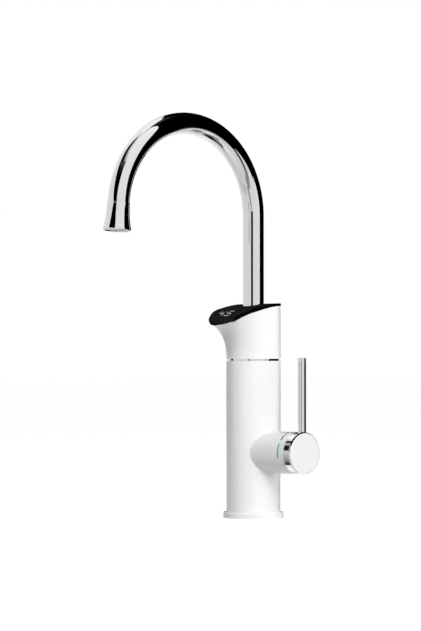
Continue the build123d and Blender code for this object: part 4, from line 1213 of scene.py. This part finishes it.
    def _world(self) -> None:
        """Makes the surroundings white to the eye and in reflections, and dimmer as a light."""
        world = bpy.data.worlds.new("studio")
        bpy.context.scene.world = world
        world.use_nodes = True
        tree = world.node_tree
        tree.nodes.clear()
        out = tree.nodes.new("ShaderNodeOutputWorld")
        fill = tree.nodes.new("ShaderNodeBackground")
        fill.inputs["Color"].default_value = (1.0, 1.0, 1.0, 1.0)
        fill.inputs["Strength"].default_value = self.fill
        seen = tree.nodes.new("ShaderNodeBackground")
        seen.inputs["Color"].default_value = (1.0, 1.0, 1.0, 1.0)
        seen.inputs["Strength"].default_value = 1.0
        both = tree.nodes.new("ShaderNodeMixShader")
        tree.links.new(self._seen_directly(tree), both.inputs[0])
        tree.links.new(fill.outputs[0], both.inputs[1])
        tree.links.new(seen.outputs[0], both.inputs[2])
        tree.links.new(both.outputs[0], out.inputs["Surface"])

    def _lamp(self, name: str, across: float, height: float, watts: float) -> None:
        """Adds a soft square lamp that is aimed at the tap and isn't mirrored in it.

        Args:
            name: The lamp's name.
            across: Its direction from the camera's, in degrees, positive to the right.
            height: Its height in degrees.
            watts: Its power.
        """
        data = bpy.data.lights.new(name, "AREA")
        data.energy = watts
        data.size = self.lamp_size
        lamp = bpy.data.objects.new(name, data)
        bpy.context.scene.collection.objects.link(lamp)
        direction = self._direction(across, height)
        lamp.location = Vector(self.card_centre) + direction * self.lamp_distance
        lamp.rotation_mode = "QUATERNION"
        lamp.rotation_quaternion = (-direction).to_track_quat("-Z", "Y")
        lamp.visible_glossy = False

    def _lamps(self) -> None:
        """Hangs the soft lamps."""
        for name, across, height, watts in LAMPS:
            self._lamp(name, across, height, watts)

    def _card(self, card: Card) -> None:
        """Stands a card round the tap, seen by reflections alone.

        Args:
            card: The card's brightness and edges.
        """
        places: list[list[Vector]] = []
        levels: list[list[float]] = []
        for height, left, right, left_level, right_level in fine_rows(card.rows, self.card_step):
            shares = [k / self.columns for k in range(self.columns + 1)]
            places.append([Vector(self.card_centre) + card.distance
                           * self._direction(left + (right - left) * share, height) for share in shares])
            levels.append([left_level + (right_level - left_level) * share for share in shares])
        self._sheet(card.name, places, levels)

    def _ring_card(self, card: RingCard) -> None:
        """Hangs a card where the handle's ring mirrors it.

        Args:
            card: The card's brightness by the angle round the ring.
        """
        low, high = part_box("handle_ring")
        middle, radius = (low.z + high.z) / 2, (high.z - low.z) / 2
        eye = self._towards_camera() * self.distance
        view = (eye + Vector((-high.x, 0.0, self.eye_height - middle))).normalized()
        places: list[list[Vector]] = []
        levels: list[list[float]] = []
        for turn, level, away in fine_rows(card.rows, self.ring_step):
            row: list[Vector] = []
            for share in (0.0, 0.5, 1.0):
                tilt = math.radians(card.tilts[0] + (card.tilts[1] - card.tilts[0]) * share)
                along = card.along[0] + (card.along[1] - card.along[0]) * share
                around = Vector((0.0, -math.cos(math.radians(turn)), math.sin(math.radians(turn))))
                normal = around * math.cos(tilt) + Vector((math.sin(tilt), 0.0, 0.0))
                start = Vector((low.x + (high.x - low.x) * along - card.rounding, 0.0, middle))
                start += around * (radius - card.rounding) + normal * card.rounding
                row.append(start + (2 * normal.dot(view) * normal - view) * away)
            places.append(row)
            levels.append([level] * 3)
        self._sheet(card.name, places, levels)

    def _face_card(self) -> None:
        """Hangs a pale card where the handle's flat face mirrors it."""
        low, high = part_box("handle_cap")
        centre = Vector((high.x, 0.0, (low.z + high.z) / 2))
        eye = self._towards_camera() * self.distance + Vector((0.0, 0.0, self.eye_height))
        view = (eye - centre).normalized()
        way = Vector((view.x, -view.y, -view.z))
        side = way.cross(Vector((0.0, 0.0, 1.0))).normalized() * self.face_card_size[0] / 2
        up = Vector((0.0, 0.0, self.face_card_size[1] / 2))
        middle = centre + way * self.face_card_away
        places = [[middle - side + rise, middle + side + rise] for rise in (-up, up)]
        self._sheet("face_card", places, [[self.face_card_level] * 2] * 2)

    @staticmethod
    def _sheet(name: str, places: list[list[Vector]], levels: list[list[float]]) -> None:
        """Bends a grid into a glowing card that only reflections see.

        Args:
            name: The card's name.
            places: Its points, row by row.
            levels: The brightness at each point.
        """
        columns = len(places[0]) - 1
        Bench.clear_selection()
        bpy.ops.mesh.primitive_grid_add(x_subdivisions=columns, y_subdivisions=len(places) - 1, size=1.0)
        piece = bpy.context.object
        piece.name = name
        shade = piece.data.color_attributes.new("level", "FLOAT_COLOR", "POINT")
        order = sorted(piece.data.vertices, key=lambda v: (round(v.co.y, 5), v.co.x))
        for index, vertex in enumerate(order):
            row, column = divmod(index, columns + 1)
            level = levels[row][column]
            shade.data[vertex.index].color = (level, level, level, 1.0)
            vertex.co = places[row][column]
        made = bpy.data.materials.new(name)
        made.use_nodes = True
        tree = made.node_tree
        tree.nodes.clear()
        out = tree.nodes.new("ShaderNodeOutputMaterial")
        glow = tree.nodes.new("ShaderNodeEmission")
        read = tree.nodes.new("ShaderNodeVertexColor")
        read.layer_name = "level"
        tree.links.new(read.outputs["Color"], glow.inputs["Color"])
        tree.links.new(glow.outputs[0], out.inputs["Surface"])
        piece.data.materials.append(made)
        piece.visible_camera = False
        piece.visible_diffuse = False
        piece.visible_shadow = False


LAMPS = (
    ("key_lamp", 13.0, 35.0, 43.3),
    ("right_lamp", 110.0, 0.0, 32.8),
    ("front_lamp", 45.0, 0.0, 15.2),
    ("left_lamp", -45.0, 35.0, 6.4),
    ("left_rear_lamp", -150.0, 35.0, 7.0),
    ("right_rear_lamp", 150.0, 35.0, 7.0),
)

CARDS = (
    Card("right_flag", 3.8, ((-37.0, 68.0, 116.0, 0.1, 0.2), (-33.0, 54.0, 130.0, 0.02, 0.06),
                             (-28.0, 47.0, 145.0, 0.0, 0.0), (-23.0, 50.0, 151.0, 0.0, 0.0),
                             (-20.0, 62.0, 152.0, 0.0, 0.0), (-8.0, 65.0, 156.0, 0.0, 0.0),
                             (-3.6, 64.5, 165.0, 0.0, 0.0), (-3.4, 64.5, 195.0, 0.0, 0.0),
                             (-1.0, 65.5, 195.0, 0.0, 0.0), (-0.5, 70.0, 185.0, 0.0, 0.0),
                             (1.0, 74.0, 195.0, 0.0, 0.0),
                             (5.0, 74.0, 195.0, 0.0, 0.0),
                             (9.0, 69.0, 194.0, 0.0, 0.0), (24.0, 69.0, 192.0, 0.0, 0.0),
                             (30.0, 67.5, 189.0, 0.0, 0.0), (62.0, 65.0, 184.0, 0.0, 0.0),
                             (72.0, 62.0, 165.0, 0.0, 0.03), (80.0, 58.0, 160.0, 0.02, 0.08),
                             (86.0, 55.0, 165.0, 0.06, 0.35), (89.0, 50.0, 170.0, 0.1, 0.4))),
    Card("low_flag", 3.85, ((-34.0, -5.0, 50.0, 0.5, 0.2), (-30.0, -10.0, 50.0, 0.42, 0.01),
                            (-24.0, -14.0, 52.0, 0.42, 0.01), (-20.5, -14.0, 62.0, 0.6, 0.1))),
    Card("left_flag", 3.8, ((9.0, -44.0, -18.0, 0.15, 0.15), (11.0, -50.0, -18.0, 0.0, 0.0),
                            (15.0, -57.0, -18.0, 0.0, 0.0), (22.0, -64.0, -17.5, 0.0, 0.0),
                            (29.0, -70.0, -15.0, 0.0, 0.0), (36.0, -80.0, -13.5, 0.0, 0.0),
                            (43.0, -94.0, -12.5, 0.0, 0.02), (47.0, -103.0, -12.0, 0.0, 0.08),
                            (49.0, -107.0, -44.0, 0.0, 0.0), (53.0, -108.0, -58.0, 0.0, 0.0),
                            (60.0, -108.0, -72.0, 0.0, 0.0), (67.0, -104.0, -76.0, 0.0, 0.0),
                            (73.0, -100.0, -78.0, 0.05, 0.08), (79.0, -98.0, -78.0, 0.3, 0.3))),
    Card("left_shade", 3.83, ((46.0, -60.0, -10.0, 0.0, 0.3), (50.0, -62.0, -14.0, 0.0, 0.6),
                              (55.0, -68.0, -24.0, 0.0, 0.6), (61.0, -80.0, -40.0, 0.0, 0.6),
                              (68.0, -82.0, -42.0, 0.02, 0.65), (75.0, -82.0, -44.0, 0.15, 0.7))),
    Card("strip_flag", 3.85, ((-30.0, -30.0, -14.0, 0.35, 0.35), (-10.0, -26.0, -16.0, 0.1, 0.1),
                              (-4.0, -23.0, -15.0, 0.12, 0.12), (-0.5, -21.5, -16.5, 0.1, 0.1),
                              (0.5, -25.5, -3.5, 0.0, 0.0),
                              (8.5, -25.5, -3.5, 0.0, 0.0))),
    Card("rod_side_card", 0.35, ((-21.6, -146.0, -47.0, 0.6, 0.46), (-8.3, -146.0, -47.0, 0.6, 0.46))),
    Card("rod_strip", 0.34, ((-22.2, -9.0, 12.0, 0.22, 0.22), (-8.5, -9.0, 12.0, 0.22, 0.22))),
    Card("band_side_flag", 0.35, ((-8.2, -117.0, -98.0, 0.0, 0.0), (-7.7, -117.0, -98.0, 0.0, 0.0))),
    Card("band_light", 0.35, ((-8.2, 133.0, 205.0, 1.0, 1.0), (-7.7, 133.0, 205.0, 1.0, 1.0))),
    Card("deck_flag", 3.9, ((-58.0, 108.0, 150.0, 0.4, 0.4), (-53.0, 106.0, 152.0, 0.12, 0.12),
                            (-49.0, 106.0, 152.0, 0.12, 0.12), (-45.0, 108.0, 150.0, 0.4, 0.5))),
    Card("ceiling_card", 3.95, ((79.0, -60.0, 60.0, 0.82, 0.75), (83.0, -60.0, 60.0, 0.55, 0.4),
                                (89.0, -60.0, 60.0, 0.45, 0.3))),
    Card("left_back_panel", 4.0, ((-88.0, -182.0, -110.0, 0.0, 0.4), (-55.0, -182.0, -110.0, 0.9, 0.5),
                                  (80.0, -182.0, -110.0, 0.95, 0.85))),
    Card("left_panel", 4.0, ((-88.0, -110.0, -14.0, 0.6, 0.9), (-50.0, -110.0, -14.0, 0.55, 0.6),
                             (80.0, -110.0, -14.0, 0.85, 0.75))),
    Card("front_panel", 4.0, ((-88.0, -14.0, 70.0, 0.9, 0.85), (-50.0, -14.0, 70.0, 0.6, 0.6),
                              (80.0, -14.0, 70.0, 0.85, 0.95))),
    Card("low_right_panel", 4.0, ((-88.0, 70.0, 180.0, 0.2, 0.0), (-64.0, 70.0, 180.0, 0.2, 0.0),
                                  (-58.0, 70.0, 180.0, 0.6, 0.6), (-20.0, 70.0, 180.0, 0.65, 0.9))),
)

RING_CARDS = (
    RingCard("ring_side_card", (0.0, 0.0), (0.4, 1.0), 0.0,
             ((-50.0, 1.0, 0.03), (-36.0, 0.9, 0.03), (-33.0, 0.8, 0.03), (-31.5, 0.03, 0.03),
              (-27.0, 0.03, 0.03), (-19.0, 0.22, 0.03), (-11.0, 0.36, 0.03), (-6.0, 0.4, 0.03),
              (4.0, 0.58, 0.03), (8.0, 0.5, 0.03), (10.0, 0.02, 0.025), (21.0, 0.0, 0.02),
              (25.0, 0.33, 0.015), (28.0, 0.5, 0.013),
              (31.5, 0.05, 0.012), (37.5, 0.0, 0.01))),
    RingCard("ring_edge_flag", (0.0, 66.0), (1.0, 1.0), 1.5 * MM,
             ((24.0, 0.0, 0.01), (55.0, 0.0, 0.003), (70.0, 0.0, 0.001), (108.0, 0.0, 0.0008))),
    RingCard("ring_edge_card", (67.0, 88.0), (1.0, 1.0), 1.5 * MM,
             ((-180.0, 0.97, 0.01), (20.0, 0.97, 0.01), (50.0, 0.97, 0.003), (65.0, 0.97, 0.0008),
              (115.0, 0.97, 0.0008), (130.0, 0.97, 0.003), (180.0, 0.97, 0.01))),
    RingCard("ring_rear_card", (20.0, 57.0), (1.0, 1.0), 1.5 * MM,
             ((-200.0, 0.97, 0.01), (-60.0, 0.97, 0.01))),
)


def main() -> None:
    """Loads the frame, builds and dresses each sub-assembly and sets up the studio."""
    logging.basicConfig(level=logging.INFO, format="%(message)s")
    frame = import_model()
    nodes = frame["nodes"]
    for kind in (Base, Housing, Valve, Handle, FlowSwitch, Heater, Spout, Display):
        part = kind(nodes)
        part.dress()
        part.build()
        LOG.info("%s built", kind.__name__)
    Studio().build()
    bpy.context.scene.view_settings.view_transform = "Standard"


if __name__ == "__main__":
    main()
